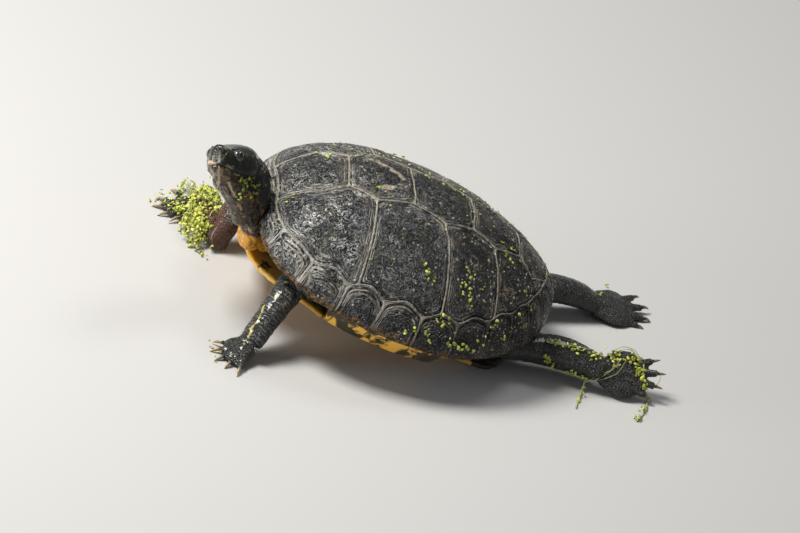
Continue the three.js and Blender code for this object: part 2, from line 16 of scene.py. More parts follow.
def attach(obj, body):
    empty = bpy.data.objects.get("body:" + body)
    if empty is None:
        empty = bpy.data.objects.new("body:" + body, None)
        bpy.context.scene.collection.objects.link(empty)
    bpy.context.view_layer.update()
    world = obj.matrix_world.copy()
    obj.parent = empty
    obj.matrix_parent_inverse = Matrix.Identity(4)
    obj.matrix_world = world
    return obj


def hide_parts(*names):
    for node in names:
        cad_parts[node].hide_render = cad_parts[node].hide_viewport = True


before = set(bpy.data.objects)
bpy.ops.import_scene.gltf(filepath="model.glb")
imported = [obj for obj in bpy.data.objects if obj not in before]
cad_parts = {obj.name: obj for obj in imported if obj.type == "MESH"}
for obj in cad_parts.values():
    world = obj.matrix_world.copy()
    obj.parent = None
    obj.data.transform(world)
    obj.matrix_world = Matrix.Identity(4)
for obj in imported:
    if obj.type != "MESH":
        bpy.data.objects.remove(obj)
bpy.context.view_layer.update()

# %% [markdown]
# ## Camera, floor and light
#
# The camera looks down on the turtle's left side. The turtle basks on a slope in life, so
# the camera is rolled instead of the ground. A long lens keeps the shell's outline true.

# %% Camera
MM = 0.001
CAMERA_AZIMUTH = math.radians(-14.06)
CAMERA_HEIGHT = math.radians(31.85)
CAMERA_ROLL = math.radians(21.5)
CAMERA_DISTANCE = 11.743
LENS = 800
AIM = Vector((-0.0152, 0.019, 0.0368))  # the point in the middle of the picture


def nothing_selected():
    if bpy.context.object and bpy.context.object.mode != "OBJECT":
        bpy.ops.object.mode_set(mode="OBJECT")
    bpy.ops.object.select_all(action="DESELECT")


camera_turn = (
    Matrix.Rotation(CAMERA_AZIMUTH, 3, "Z")
    @ Matrix.Rotation(math.pi / 2 - CAMERA_HEIGHT, 3, "X")
    @ Matrix.Rotation(CAMERA_ROLL, 3, "Z")
)
back = camera_turn.col[2]
nothing_selected()
bpy.ops.object.camera_add(location=AIM + back * CAMERA_DISTANCE, rotation=camera_turn.to_euler())
camera = bpy.context.object
camera.data.lens = LENS
camera.data.clip_end = 40
bpy.context.scene.camera = camera
print("camera at", tuple(round(v, 3) for v in camera.location))

# %% [markdown]
# The floor is a wide, pale, plain sheet, rough enough to show no mirror image.

# %% Floor
FLOOR_TINT = (0.5, 0.493, 0.48, 1)
nothing_selected()
bpy.ops.mesh.primitive_plane_add(size=60, location=(0, 0, 0))
floor = bpy.context.object
floor.name = "studio_floor"
floor_look = bpy.data.materials.new("plain_floor")
floor_look.use_nodes = True
floor_shader = floor_look.node_tree.nodes["Principled BSDF"]
floor_shader.inputs["Base Color"].default_value = FLOOR_TINT
floor_shader.inputs["Roughness"].default_value = 0.9
floor_shader.inputs["Specular IOR Level"].default_value = 0.1
floor.data.materials.append(floor_look)

# %% [markdown]
# The light is what a studio gives: a large soft key from above, a weaker fill from the
# other side and an even pale surround. Small lamps would make hard shadows.

# %% Lamps and surround


def soft_lamp(name, place, size, power, tint=(1, 1, 1)):
    nothing_selected()
    aim = (Vector((0, 0, 0.03)) - Vector(place)).to_track_quat("-Z", "Y").to_euler()
    bpy.ops.object.light_add(type="AREA", location=place, rotation=aim)
    lamp = bpy.context.object
    lamp.name = name
    lamp.data.size = size
    lamp.data.energy = power
    lamp.data.color = tint
    return lamp


SURROUND_TINT = (0.9, 0.93, 1, 1)
SURROUND_LIGHT = 0.18
soft_lamp("key_lamp", (-0.85, 0.1, 1.25), 0.42, 31, (1, 0.98, 0.94))
soft_lamp("top_lamp", (0.5, 0.7, 1.3), 0.4, 5)
soft_lamp("fill_lamp", (-1.45, -0.5, 0.22), 0.5, 13, (0.95, 0.97, 1))
world = bpy.context.scene.world or bpy.data.worlds.new("surround")
bpy.context.scene.world = world
world.use_nodes = True
surround = world.node_tree.nodes["Background"]
surround.inputs["Color"].default_value = SURROUND_TINT
surround.inputs["Strength"].default_value = SURROUND_LIGHT
bpy.context.scene.view_settings.view_transform = "Standard"

# %% [markdown]
# ## Helpers for laying a sheet on a form
#
# Most of a turtle is a curved sheet: a horny plate, or skin round a limb. A flat grid is
# added as it comes, and its points are then laid on a form, a rule that says where the
# share u of the way along and v of the way across is. Working out all points at once with
# numpy keeps this quick; setting points one at a time would take minutes.

# %% Sheets laid on a form


def points_of(piece):
    flat = np.empty(len(piece.data.vertices) * 3)
    piece.data.vertices.foreach_get("co", flat)
    return flat.reshape(-1, 3)


def set_points(piece, points):
    piece.data.vertices.foreach_set("co", np.asarray(points, dtype=float).ravel())
    piece.data.update()


def normals_of(piece):
    flat = np.empty(len(piece.data.vertices) * 3, dtype=np.float32)
    piece.data.vertex_normals.foreach_get("vector", flat)
    return flat.reshape(-1, 3).astype(float)


def keep_value(piece, name, values):
    layer = piece.data.attributes.new(name, "FLOAT", "POINT")
    layer.data.foreach_set("value", np.asarray(values, dtype=np.float32).ravel())


def sheet(name, rows, columns, form):
    """A grid of rows along u and columns along v, laid on form(u, v)."""
    nothing_selected()
    bpy.ops.mesh.primitive_grid_add(x_subdivisions=rows, y_subdivisions=columns, size=1)
    piece = bpy.context.object
    piece.name = piece.data.name = name
    flat = points_of(piece)
    set_points(piece, form(flat[:, 0] + 0.5, flat[:, 1] + 0.5))
    return piece


# %% [markdown]
# A little unevenness makes the difference between a plate and a moulding. This is smooth
# noise from numbers scattered on a lattice, the same on every run.

# %% Smooth noise
lattice = np.random.default_rng(7).random((32, 32, 32))


def noise(points, size, shift=0.0):
    """Smooth noise between -1 and 1 with features about size across."""
    p = np.asarray(points) / size + shift
    cell = np.floor(p).astype(int)
    f = p - cell
    f = f * f * (3 - 2 * f)
    total = 0
    for i in (0, 1):
        for j in (0, 1):
            for k in (0, 1):
                weight = (
                    (f[:, 0] if i else 1 - f[:, 0])
                    * (f[:, 1] if j else 1 - f[:, 1])
                    * (f[:, 2] if k else 1 - f[:, 2])
                )
                x, y, z = (cell[:, 0] + i) % 32, (cell[:, 1] + j) % 32, (cell[:, 2] + k) % 32
                total = total + weight * lattice[x, y, z]
    return total * 2 - 1


def drift(points, size, *shifts):
    """One smooth noise for each shift, side by side."""
    return np.stack([noise(points, size, shift) for shift in shifts], -1)


# %% [markdown]
# Three short rules shape nearly everything that isn't flat: an eased step from one height
# to another, a hump for a welt or a groove, and a smooth line through a few places.

# %% Short rules of form


def unit(vectors):
    return vectors / np.linalg.norm(vectors, axis=-1, keepdims=True)


def eased(value, start, end):
    """0 before start, 1 after end, smooth between; start may be the greater."""
    t = np.clip((value - start) / (end - start), 0, 1)
    return t * t * (3 - 2 * t)


def hump(value, width):
    """1 at nought, falling away on both sides over about a width."""
    return np.exp(-((value / width) ** 2))


def smooth_line(stations, share):
    """A smooth curve through stations, one share unit end to end, any number of columns."""
    stations = np.asarray(stations, dtype=float)
    n = len(stations) - 1
    at = np.clip(np.asarray(share) * n, 0, n - 1e-9)
    i = at.astype(int)
    f = (at - i)[:, None]
    padded = np.vstack([2 * stations[0] - stations[1], stations, 2 * stations[-1] - stations[-2]])
    a, b, c, d = (padded[i + k] for k in range(4))
    curve = (2 * a - 5 * b + 4 * c - d) * f**2 + (3 * b - a - 3 * c + d) * f**3
    return 0.5 * (2 * b + (c - a) * f + curve)


# %% [markdown]
# ## The shell's form
#
# The carapace is a dome on an oval edge, a little longer than wide. These are the same
# rules as the plain solids follow, in millimetres in the shell's own frame, and to_floor
# sets them down nose up, as the turtle props itself.

# %% The shell's form
SHELL_FRONT = 108.8
SHELL_REAR = 110.3
SHELL_HALF_WIDTH = 87.6
SHELL_HEIGHT = 88.9
CREST_AT = -0.086
FRONT_ALONG, FRONT_ACROSS = 2.811, 2.135  # powers of the edge's oval; 2 and 2 is a circle
REAR_ACROSS = 1.8
CREST_AHEAD, CREST_BEHIND = 1.747, 2.617  # powers of the crest's fall before and behind its top
CREST_ALONG, SIDE_ACROSS, SIDE_UP = 2.132, 2.071, 1.5
RIM_HEIGHT, RIM_RISE_FRONT, RIM_RISE_REAR = 26.1, 3.8, 14
NOTCH_DEPTH = 6
NOTCH_WIDTH = 24
NOTCH_DROP = 9
PLATE_THICKNESS = 3.6
BODY_PITCH = math.radians(10.4)
BODY_LIFT = 15.3
ORIGIN = np.array([28, -13.2, 0])  # the scene's middle, in floor millimetres


def to_metres(p):
    """From floor millimetres to the scene's metres."""
    return (np.asarray(p) - ORIGIN) * MM


def to_millimetres(p):
    return np.asarray(p) / MM + ORIGIN


def to_floor(p):
    """From the shell's millimetres to the scene's metres."""
    p = np.asarray(p, dtype=float)
    c, s = math.cos(BODY_PITCH), math.sin(BODY_PITCH)
    x = p[..., 0] * c + p[..., 2] * s
    z = -p[..., 0] * s + p[..., 2] * c + BODY_LIFT
    return to_metres(np.stack([x, p[..., 1], z], -1))


def half_width(x):
    s = np.abs(np.where(x < 0, x / SHELL_FRONT, x / SHELL_REAR))
    front = np.clip(1 - s**FRONT_ALONG, 0, None) ** (1 / FRONT_ACROSS)
    rear = np.clip(1 - s**2, 0, None) ** (1 / REAR_ACROSS)
    return SHELL_HALF_WIDTH * np.where(x < 0, front, rear)


def rim_height(x):
    s = np.where(x < 0, x / SHELL_FRONT, x / SHELL_REAR)
    rise = RIM_RISE_FRONT * np.clip(-s, 0, None) ** 3
    return RIM_HEIGHT + rise + RIM_RISE_REAR * np.clip(s, 0, None) ** 3


def dome_height(x, y):
    s = np.where(x < 0, x / SHELL_FRONT, x / SHELL_REAR)
    rim = rim_height(x)
    ahead = s < CREST_AT
    run = np.abs(s - CREST_AT) / np.where(ahead, 1 + CREST_AT, 1 - CREST_AT)
    fall = np.where(ahead, CREST_AHEAD, CREST_BEHIND)
    crest = rim + (SHELL_HEIGHT - rim) * np.clip(1 - run**CREST_ALONG, 0, None) ** (1 / fall)
    out = np.clip(np.abs(y) / np.maximum(half_width(x), 1e-3), 0, 1)
    scoop = hump(y, NOTCH_WIDTH) * np.clip((-x - 78) / 25, 0, 1) ** 1.5
    return rim + (crest - rim) * (1 - out**SIDE_ACROSS) ** (1 / SIDE_UP) - NOTCH_DROP * scoop


def rim_plan(turn):
    """The edge seen from above, on the +y side; turn is 0 at the front and pi behind."""
    c, s = np.cos(turn), np.sin(turn)
    front = c > 0
    reach = np.where(front, -SHELL_FRONT, SHELL_REAR)
    x = reach * np.abs(c) ** np.where(front, 2 / FRONT_ALONG, 1)
    y = SHELL_HALF_WIDTH * np.clip(s, 0, 1) ** np.where(front, 2 / FRONT_ACROSS, 2 / REAR_ACROSS)
    notch = np.where(front, NOTCH_DEPTH * hump(y, NOTCH_WIDTH), 0)
    return x + notch, y


def inset_plan(turn, distance):
    """The same edge, moved inwards by a distance."""
    x, y = rim_plan(turn)
    xa, ya = rim_plan(np.maximum(turn - 0.01, 0))
    xb, yb = rim_plan(np.minimum(turn + 0.01, math.pi))
    length = np.hypot(xb - xa, yb - ya)
    return x + distance * (yb - ya) / length, np.maximum(y - distance * (xb - xa) / length, 0.15)


def turn_at(x):
    """The turn at which the edge has come to x along the shell."""
    share = (-x / SHELL_FRONT) ** (FRONT_ALONG / 2) if x < 0 else -x / SHELL_REAR
    return math.acos(share)


print("shell", SHELL_FRONT + SHELL_REAR - NOTCH_DEPTH, "mm long")

# %% [markdown]
# Small plates run all round the edge. Their seams are given where they meet the edge, as
# places along the shell, and turned into lengths along the edge, because a plate's own
# share of its length shapes its swell.

# %% Seams of the edge plates
NUCHAL_END = 0.09
WIDTH_SIDE, WIDTH_FRONT, WIDTH_REAR, WIDTH_ARCH = 7.4, 6, 15, 2.6
MARGINAL_SEAMS = [-96.9, -73.6, -45.3, -18.1, 11.5, 39, 62, 80, 93, 102, 108]
turns = np.linspace(0, math.pi, 800)
rim_run = np.stack(rim_plan(turns), -1)
rim_length = np.concatenate([[0], np.cumsum(np.linalg.norm(np.diff(rim_run, axis=0), axis=1))])
seam_turns = [NUCHAL_END, *[turn_at(x) for x in MARGINAL_SEAMS], math.pi]
seam_lengths = np.interp(seam_turns, turns, rim_length)


def marginal_share(turn, shift=0.0):
    """Where in its edge plate a point lies, from 0 to 1, and the millimetres to its seams."""
    length = np.interp(turn, turns, rim_length) + shift
    index = np.clip(np.searchsorted(seam_lengths, length) - 1, 0, len(seam_lengths) - 2)
    start, stop = seam_lengths[index], seam_lengths[index + 1]
    share = np.clip((length - start) / (stop - start), 0, 1)
    return share, np.minimum(np.abs(length - start), np.abs(stop - length))


def marginal_width(turn):
    """Width of the edge plates; each rises in a low arch between its seams."""
    c = np.cos(turn)
    share, _ = marginal_share(turn)
    arch = WIDTH_ARCH * np.sin(math.pi * share) ** 2 * np.sin(turn) ** 2
    return WIDTH_SIDE * np.sin(turn) ** 2 + np.where(c > 0, WIDTH_FRONT, WIDTH_REAR) * c * c + arch


print("edge", round(float(rim_length[-1])), "mm long on each side")

# %% [markdown]
# ## The horny plates of the back
#
# Five plates run down the middle and four down each side. Each is a sheet between two
# lines of corners drawn from above. Seams wander a little in life, so one slow noise moves
# all the lines alike and neighbours still meet. The points are crowded towards the edges,
# where each plate has a fine raised lip, and every point keeps its distance from the
# edge for the finish to use.

# %% Lines of corners
COSTAL_ENDS = [0.2, turn_at(-40), turn_at(24), turn_at(66), turn_at(108)]


def seam_plan(turn):
    return np.stack(inset_plan(turn, marginal_width(turn)), -1)


CORNERS = np.array(
    [
        seam_plan(np.array(COSTAL_ENDS[0])),
        (-77, 22.5),
        (-59.6, 17),
        (-40.7, 26.5),
        (-16.3, 20),
        (8.5, 24.5),
        (29.7, 17),
        (48.1, 21.5),
        (68, 13),
        (81, 21),
        seam_plan(np.array(COSTAL_ENDS[4])),
    ]
)


def along_corners(corners, share):
    place = np.linspace(0, 1, len(corners))
    return np.stack([np.interp(share, place, corners[:, k]) for k in (0, 1)], -1)


def wandered(x, y):
    """Seams wander by up to a millimetre, more in the middle of the shell."""
    flat = np.stack([x, y, np.zeros_like(x)], -1)
    room = np.clip((half_width(x) - np.abs(y) - 14) / 20, 0, 1)
    room = room * np.clip((x + 84) / 18, 0, 1) * np.clip((84 - x) / 18, 0, 1)
    return x + 1.1 * room * noise(flat, 13), y + 0.9 * room * noise(flat, 11, 5.3)


def on_dome(x, y):
    return np.stack([x, y, dome_height(x, y)], -1)


def dome_normal(p):
    """The way the plain dome faces; steps are taken inwards, as it is steep at its edge."""
    x, y = p[:, 0], p[:, 1]
    inward = np.where(y > 0, -0.3, 0.3)
    slope_x = dome_height(x + 0.3, y) - dome_height(x - 0.3, y)
    slope_y = dome_height(x, y + inward) - dome_height(x, y)
    return unit(np.stack([-slope_x / 0.6, -slope_y / inward, np.ones_like(x)], -1))


def crowded(share, amount=0.8):
    """Shares crowded towards both ends."""
    return share - amount * np.sin(2 * math.pi * share) / (2 * math.pi)


print("corners down the middle of one side:", len(CORNERS))

# %% [markdown]
# A plate could be cut out of a dome, but then its edge would be ragged. It is laid between
# its own two lines instead, so that every edge is clean and neighbours share their points.
# The horn's relief is added along the way the dome faces: a welt at the seam, thin lines
# beside it, and inside them the swells, creases and grit of old horn.

# %% Relief of the horn


def plate_form(inner, outer, bow):
    def place(u, v):
        a, b = inner(u), outer(u)
        x = a[..., 0] + (b[..., 0] - a[..., 0]) * v + bow(u) * 4 * v * (1 - v)
        y = a[..., 1] + (b[..., 1] - a[..., 1]) * v
        return on_dome(*wandered(x, y))

    return place


def soft_least(*distances):
    """The least of some distances, rounded where two are alike, as seams round their corners."""
    sharp = 1.1
    return np.maximum(-np.log(sum(np.exp(-sharp * d) for d in distances)) / sharp, 0)


def horn_relief(points, edge, seed):
    """Height of the horn over the plain dome: a welt at the seam, worn rings, swells and pits."""
    slow = noise(points, 9, seed)
    welt = 0.42 * hump(edge, 0.55) - 0.42 * hump(edge - 1.35, 0.6)
    second = 0.3 * hump(edge - 2.4 - 0.7 * slow, 0.35) * eased(slow, -0.35, 0.25)
    second = second + 0.22 * hump(edge - 4 - 1.2 * slow, 0.4) * eased(slow, -0.1, 0.4)
    rings = 0.08 * np.sin(edge * 3.1 + 2.5 * slow) * np.exp(-edge / 9)
    front = eased(points[:, 0], 15, -55)
    bent = points + 2.2 * drift(points, 5, seed + 1, seed + 2, seed + 3)
    creases = 1 - np.abs(noise(bent, 3.4, seed))
    grit = noise(bent, 1.5, seed + 4)
    swell = 0.65 * noise(points, 17, seed) + 0.32 * noise(points, 6, seed)
    worn = (0.16 + 0.3 * front) * (creases**3 - 0.4) + (0.1 + 0.08 * front) * grit
    return welt + second + rings + eased(edge, 1.2, 4) * (swell + worn)


# %% [markdown]
# Old wear gives an animal its own face: scrapes on one plate, a ring on another and a
# silvery front, partly worn horn and partly painted sheen. Each is kept as a value on the
# points, for the finish to read.

# %% Wear of the horn
SCRAPES = [[(-44, 16), (-33, 10), (-24, 2)], [(-38, -13), (-31, -11), (-24, -5)], [(-52, 4), (-51, 1)]]
RING_SCAR = (34, -40)


def scars(p):
    """Old wear on two plates: tan scrapes on the second middle one, a ring on a side one."""
    bent = p[:, :2] + 1.2 * drift(p, 3.5, 2.2, 5.1)
    worn = []
    for route in SCRAPES:
        line = smooth_line(route, np.linspace(0, 1, 30))
        away = np.linalg.norm(bent[:, None, :] - line[None], axis=2).min(axis=1)
        worn.append(eased(away, 3.4, 0.9) * (0.85 + 0.6 * noise(p, 2.6, 9.1)))
    ring = hump(np.linalg.norm(bent - RING_SCAR, axis=1) - 3, 0.7)
    return np.maximum(np.max(worn, axis=0), ring * (0.75 + 0.5 * noise(p, 2.6, 4.1)))


def wear_and_sheen_share(p):
    """How much of the horn is worn silvery and painted with sheen: the front, but for the smooth second
    middle plate.
    """
    smooth = np.exp(-(((p[:, 0] + 33) / 13) ** 2) - (p[:, 1] / 21) ** 2)
    return eased(p[:, 0], 45, -75) * (1 - 0.8 * smooth)


# %% [markdown]
# Each plate is a sheet given its thickness by Solidify, and the inner face is then set
# along the plain dome, so that its relief doesn't show through on the inside.

# %% One plate of the back
PLATE_CELLS = 118  # cells along and across one plate


def only(piece):
    """Select one piece and nothing else."""
    nothing_selected()
    piece.select_set(True)
    bpy.context.view_layer.objects.active = piece


def finish_with(piece, kind, **settings):
    """Add one modifier and apply it at once."""
    only(piece)
    modifier = piece.modifiers.new(kind.lower(), kind)
    for key, value in settings.items():
        setattr(modifier, key, value)
    bpy.ops.object.modifier_apply(modifier=modifier.name)


def rounded(piece):
    only(piece)
    bpy.ops.object.shade_smooth()
    return piece


def horn_plate(name, inner, outer, bow, side, seed):
    place = plate_form(inner, outer, bow)
    flip = np.array([1, side, 1])
    kept = {}

    def form(u, v):
        u, v = crowded(u, 0.6), crowded(v, 0.6)
        points = place(u, v)
        sides = [place(0 * u, v), place(0 * u + 1, v), place(u, 0 * v), place(u, 0 * v + 1)]
        kept["edge"] = soft_least(*[np.linalg.norm(points - side, axis=1) for side in sides])
        kept["points"] = points * flip
        return points * flip

    piece = sheet(name, PLATE_CELLS, PLATE_CELLS, form)
    if np.mean(normals_of(piece)[:, 2]) < 0:
        piece.data.flip_normals()
    keep_value(piece, "edge", kept["edge"])
    keep_value(piece, "scar", scars(kept["points"]))
    # The silvery share: worn horn, and painted sheen at the front.
    keep_value(piece, "worn", wear_and_sheen_share(kept["points"]))
    points, outward = kept["points"], dome_normal(kept["points"])
    outer = to_floor(points + outward * horn_relief(points, kept["edge"], seed)[:, None])
    set_points(piece, outer)
    finish_with(piece, "SOLIDIFY", thickness=PLATE_THICKNESS * MM, offset=-1)
    inner_face = to_floor(points - outward * PLATE_THICKNESS)
    set_points(piece, np.vstack([outer, inner_face]))
    return rounded(piece)


# %% [markdown]
# The middle plates are made from one half of their outline and its mirror image. The first
# and the last are bowed at their outer ends, to meet the edge plates.

# %% Five plates down the middle
front_bow = seam_plan(np.array(0.0))[0] - CORNERS[0][0]
rear_bow = seam_plan(np.array(math.pi))[0] - CORNERS[10][0]
plates = []
for i in range(5):
    corners = CORNERS[2 * i : 2 * i + 3]
    flipped = corners * np.array([1, -1])
    ends = {0: lambda u: front_bow * (1 - u), 4: lambda u: rear_bow * u}
    plates.append(
        horn_plate(
            f"vertebral_plate_{i + 1}",
            lambda u, c=flipped: along_corners(c, u),
            lambda u, c=corners: along_corners(c, u),
            ends.get(i, lambda u: 0 * u),
            1,
            i + 0.5,
        )
    )
print([p.name for p in plates])

# %% [markdown]
# The side plates reach from the zigzag of the middle ones down to the edge plates. The
# right ones are the left ones' mirror image, but each has its own noise, as in life.

# %% Four plates down each side
for side_name, side in (("left", -1), ("right", 1)):
    for i in range(4):
        corners = CORNERS[0 if i == 0 else 2 * i + 1 : 11 if i == 3 else 2 * i + 4]
        first, last = COSTAL_ENDS[i], COSTAL_ENDS[i + 1]
        plates.append(
            horn_plate(
                f"costal_plate_{side_name}_{i + 1}",
                lambda u, c=corners: along_corners(c, u),
                lambda u, a=first, b=last: seam_plan(a + (b - a) * u),
                lambda u: 0 * u,
                side,
                13 + i - 2.5 * side,
            )
        )
print(len(plates), "plates")

# %% [markdown]
# ## The edge of the shell
#
# Twelve small plates a side edge the shell, and one narrow plate lies over the neck. A
# side is one closed sheet. A box for each plate would need its corners matched to its
# neighbours'; one long sheet keeps them together, and its relief draws the seams. The
# sheet is sewn by merging its doubles, and both its ends are drawn together to a point.

# %% Closed sheets


def sew(piece, turn_out=True):
    """Merge doubles and, where asked, turn all faces outwards."""
    only(piece)
    bpy.ops.object.mode_set(mode="EDIT")
    bpy.ops.mesh.select_all(action="SELECT")
    bpy.ops.mesh.remove_doubles(threshold=1e-6)
    if turn_out:
        bpy.ops.mesh.dissolve_degenerate(threshold=1e-7)
        bpy.ops.mesh.normals_make_consistent(inside=False)
    bpy.ops.object.mode_set(mode="OBJECT")
    return piece


def closed_sheet(name, rows, columns, ring):
    """A sheet rolled up into a closed body; ring(t, a) gives a point at share a round it."""
    around = np.arange(24) / 24

    def form(u, v):
        row = np.round(u * rows)
        t = np.clip((row - 1) / (rows - 2), 0, 1)
        points = ring(t, v)
        for end in (0, rows):
            points[row == end] = ring(np.full(24, end / rows), around).mean(axis=0)
        return points

    return sew(sheet(name, rows, columns, form))


# %% [markdown]
# The section runs from the seam under the side plates, over the edge, back along the
# underside and up the inner wall.

# %% The section through an edge plate


def edge_section(turn, a):
    """Points round the section, a from the seam (0) over the edge and back (1)."""
    width = marginal_width(turn) + 0.25
    rim_x, rim_y = rim_plan(turn)
    rim_z = dome_height(rim_x, rim_y)
    top = on_dome(*inset_plan(turn, width))
    upper = np.clip(a / 0.5, 0, 1)
    face = on_dome(*inset_plan(turn, width * (1 - upper) ** 1.8))
    curl = np.clip((a - 0.5) / 0.1, 0, 1) * math.pi / 2
    under = np.clip((a - 0.6) / 0.2, 0, 1)
    reach = 2.2 * (1 - np.cos(curl)) + (width - 2.2) * under
    low = np.stack([*inset_plan(turn, reach), rim_z - 3.4 * np.sin(curl) - 0.8 * under], -1)
    core = np.stack([0.8 * top[:, 0], 0 * turn, 0 * turn + 18], -1) - top
    inner = top + PLATE_THICKNESS * core / np.linalg.norm(core, axis=1)[:, None]
    wall = np.clip((a - 0.8) / 0.15, 0, 1)[:, None]
    lid = np.clip((a - 0.95) / 0.05, 0, 1)[:, None]
    back = (low + (inner - low) * wall) * (1 - lid) + top * lid
    return np.where((a < 0.5)[:, None], face, np.where((a < 0.8)[:, None], low, back))


# %% [markdown]
# The relief is the same as on the back. Merging changes the order of points, so each point
# finds its own values again by the place it was laid in.

# %% Relief of the edge plates


def edge_relief(turn, a, seed):
    """Distance to the nearest seam, and how far the horn swells between its seams."""
    length = np.interp(turn, turns, rim_length)
    wobble = np.stack([length, 18 * a, 0 * a + seed], -1)
    share, side = marginal_share(turn, 1.3 * noise(wobble, 9) * (a < 0.62))
    top = marginal_width(turn) * 1.6 * np.clip(a / 0.5, 0, 1)
    near = np.where(a < 0.62, soft_least(side, top), side)
    near = np.where(a > 0.8, 9, near)
    belly = (0.5 + 0.6 * eased(turn, 1.8, 2.6)) * (4 * share * (1 - share) - 0.6)
    return near, belly * eased(a, 0.02, 0.3) * (a < 0.8)


def nearest(points, others):
    """The index in others of the point nearest to each of points."""
    tree = KDTree(len(others))
    for i, co in enumerate(others):
        tree.insert(co, i)
    tree.balance()
    return np.array([tree.find(co)[1] for co in points])


def edge_strip(name, side, from_turn, to_turn, rows, seed):
    """One side's edge plates, or with no side the one over the neck, from -to_turn to to_turn."""
    laid = []

    def ring(t, a):
        turn = from_turn + (to_turn - from_turn) * t if side else np.abs(2 * t - 1) * to_turn
        mirror = np.full_like(t, side) if side else np.sign(2 * t - 1 + 1e-9)
        points = edge_section(turn, a)
        near, belly = edge_relief(turn, a, seed)
        if not side:
            near = np.where(a > 0.8, 9, np.minimum(20 * a, 120 * (NUCHAL_END - turn)))
        points[:, 1] *= mirror
        laid.append(np.column_stack([points, near, belly, 2 * a]))
        return points

    piece = closed_sheet(name, rows, 60, ring)
    points = points_of(piece)
    laid = np.concatenate(laid)
    near, belly, low = laid[nearest(points, laid[:, :3]), 3:].T
    relief = (low < 1.6) * (horn_relief(points, near, seed) + 0.8 * belly)
    keep_value(piece, "edge", near)
    keep_value(piece, "low", low)
    set_points(piece, to_floor(points + normals_of(piece) * relief[:, None]))
    return rounded(piece)


edge_plates = [
    edge_strip("nuchal_plate", 0, 0, NUCHAL_END - 0.002, 34, 31.5),
    edge_strip("marginal_plates_left", -1, NUCHAL_END + 0.003, math.pi - 0.003, 420, 32.5),
    edge_strip("marginal_plates_right", 1, NUCHAL_END + 0.003, math.pi - 0.003, 420, 33.5),
]
print([(p.name, len(p.data.polygons)) for p in edge_plates])

# %% [markdown]
# ## The plastron and bridges
#
# The belly plate is nearly flat. A bevel would round its edges all alike. Here a copy of
# its plain solid is cut into even small cells and smoothed instead, so that its edges come
# out softly and unevenly rounded, as horn wears.

# %% Belly plate and bridges


def joined(name, pieces):
    only(pieces[0])
    for piece in pieces:
        piece.select_set(True)
    if len(pieces) > 1:
        bpy.ops.object.join()
    piece = bpy.context.object
    piece.name = piece.data.name = name
    return piece


def recast(piece, cell, smoothing):
    """Turn a piece, and all that pokes through it, into one even mesh with cells of cell mm."""
    finish_with(piece, "REMESH", mode="VOXEL", voxel_size=cell * MM)
    finish_with(piece, "SMOOTH", factor=0.5, iterations=smoothing)


def copies(name, *wanted):
    """One piece from copies of plain solids, with their loose faces merged."""
    made = []
    for node in wanted:
        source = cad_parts[node]
        copy = source.copy()
        copy.data = source.data.copy()
        bpy.context.scene.collection.objects.link(copy)
        for key in list(copy.keys()):
            del copy[key]
        copy.matrix_world = source.matrix_world
        copy.parent = None
        made.append(copy)
    return sew(joined(name, made), turn_out=False)


belly_parts = []
for part in ("plastron", "bridge_left", "bridge_right"):
    piece = copies(part + "_horn", part)
    recast(piece, 1.3, 4)
    belly_parts.append(rounded(piece))
    print(piece.name, len(piece.data.polygons), "faces")

# %% [markdown]
# ## Flesh
#
# One skin covers everything that isn't shell, eye or claw. The legs, feet and tail start
# from copies of the plain solids, swelled a little so that the saw cuts between them
# close, and are cut into even cells, which fuses them into one body. A ball of loose skin
# fills the gap between each foreleg and its bridge. The head and neck are modelled finer,
# on their own forms.

# %% Legs, feet, tail and trunk
LEGS = [
    f"{part}_{side}"
    for side in ("left", "right")
    for part in ("upper_arm", "forearm", "forefoot", "thigh", "shank", "hindfoot")
]
SHOULDER = np.array([-60, 60, 25])  # the loose skin between a foreleg and the bridge
SHOULDER_RADII = np.array([11, 11, 8])


def circle(share):
    """Across and up, at a share of the way round."""
    return np.stack([np.cos(2 * math.pi * share), np.sin(2 * math.pi * share)])


def ball_ring(centre, radii, pole=0):
    """A ball drawn out along three ways; its pole is on the one counted by pole."""
    across, up = (way for way in range(3) if way != pole)

    def ring(t, a):
        c, s = circle(a)
        points = np.empty((len(t), 3))
        points[:, pole] = -np.cos(math.pi * t)
        points[:, across] = np.sin(math.pi * t) * c
        points[:, up] = np.sin(math.pi * t) * s
        return centre + radii * points

    return ring


def shoulder_ring(side):
    ball = ball_ring(SHOULDER * [1, side, 1], SHOULDER_RADII)
    return lambda t, a: to_floor(ball(t, a))


shoulders = [closed_sheet(f"shoulder_{side}", 40, 40, shoulder_ring(side)) for side in (1, -1)]
limbs = joined("limbs", [copies("limbs", "trunk", "tail", *LEGS), *shoulders])
finish_with(limbs, "DISPLACE", strength=0.28 * MM, mid_level=0)
recast(limbs, 1.04, 6)
print("limbs", len(limbs.data.polygons))

# %% [markdown]
# ## The head
#
# The head is turned to the left, raised and leaned over. It is modelled looking along its
# own axis: h forwards from the nape, l to its left and k up, in millimetres. Three
# directions at right angles take it from there to the floor's places and back.

# %% The head's own frame
HEAD_BASE = np.array([-115.8, -10, 93.4])
HEAD_TURN, HEAD_RAISE, HEAD_LEAN = (math.radians(a) for a in (52.2, 28.8, 28))
ahead = np.array(
    [
        -math.cos(HEAD_TURN) * math.cos(HEAD_RAISE),
        -math.sin(HEAD_TURN) * math.cos(HEAD_RAISE),
        math.sin(HEAD_RAISE),
    ]
)
level = unit(np.cross(ahead, [0, 0, 1]))
upright = np.cross(level, ahead)
crown = upright * math.cos(HEAD_LEAN) + level * math.sin(HEAD_LEAN)
leftward = np.cross(crown, ahead)
HEAD_AXES = np.stack([ahead, leftward, crown])


def head_place(*p):
    """From the head's millimetres to floor millimetres."""
    return tuple(np.array(p) @ HEAD_AXES + HEAD_BASE)


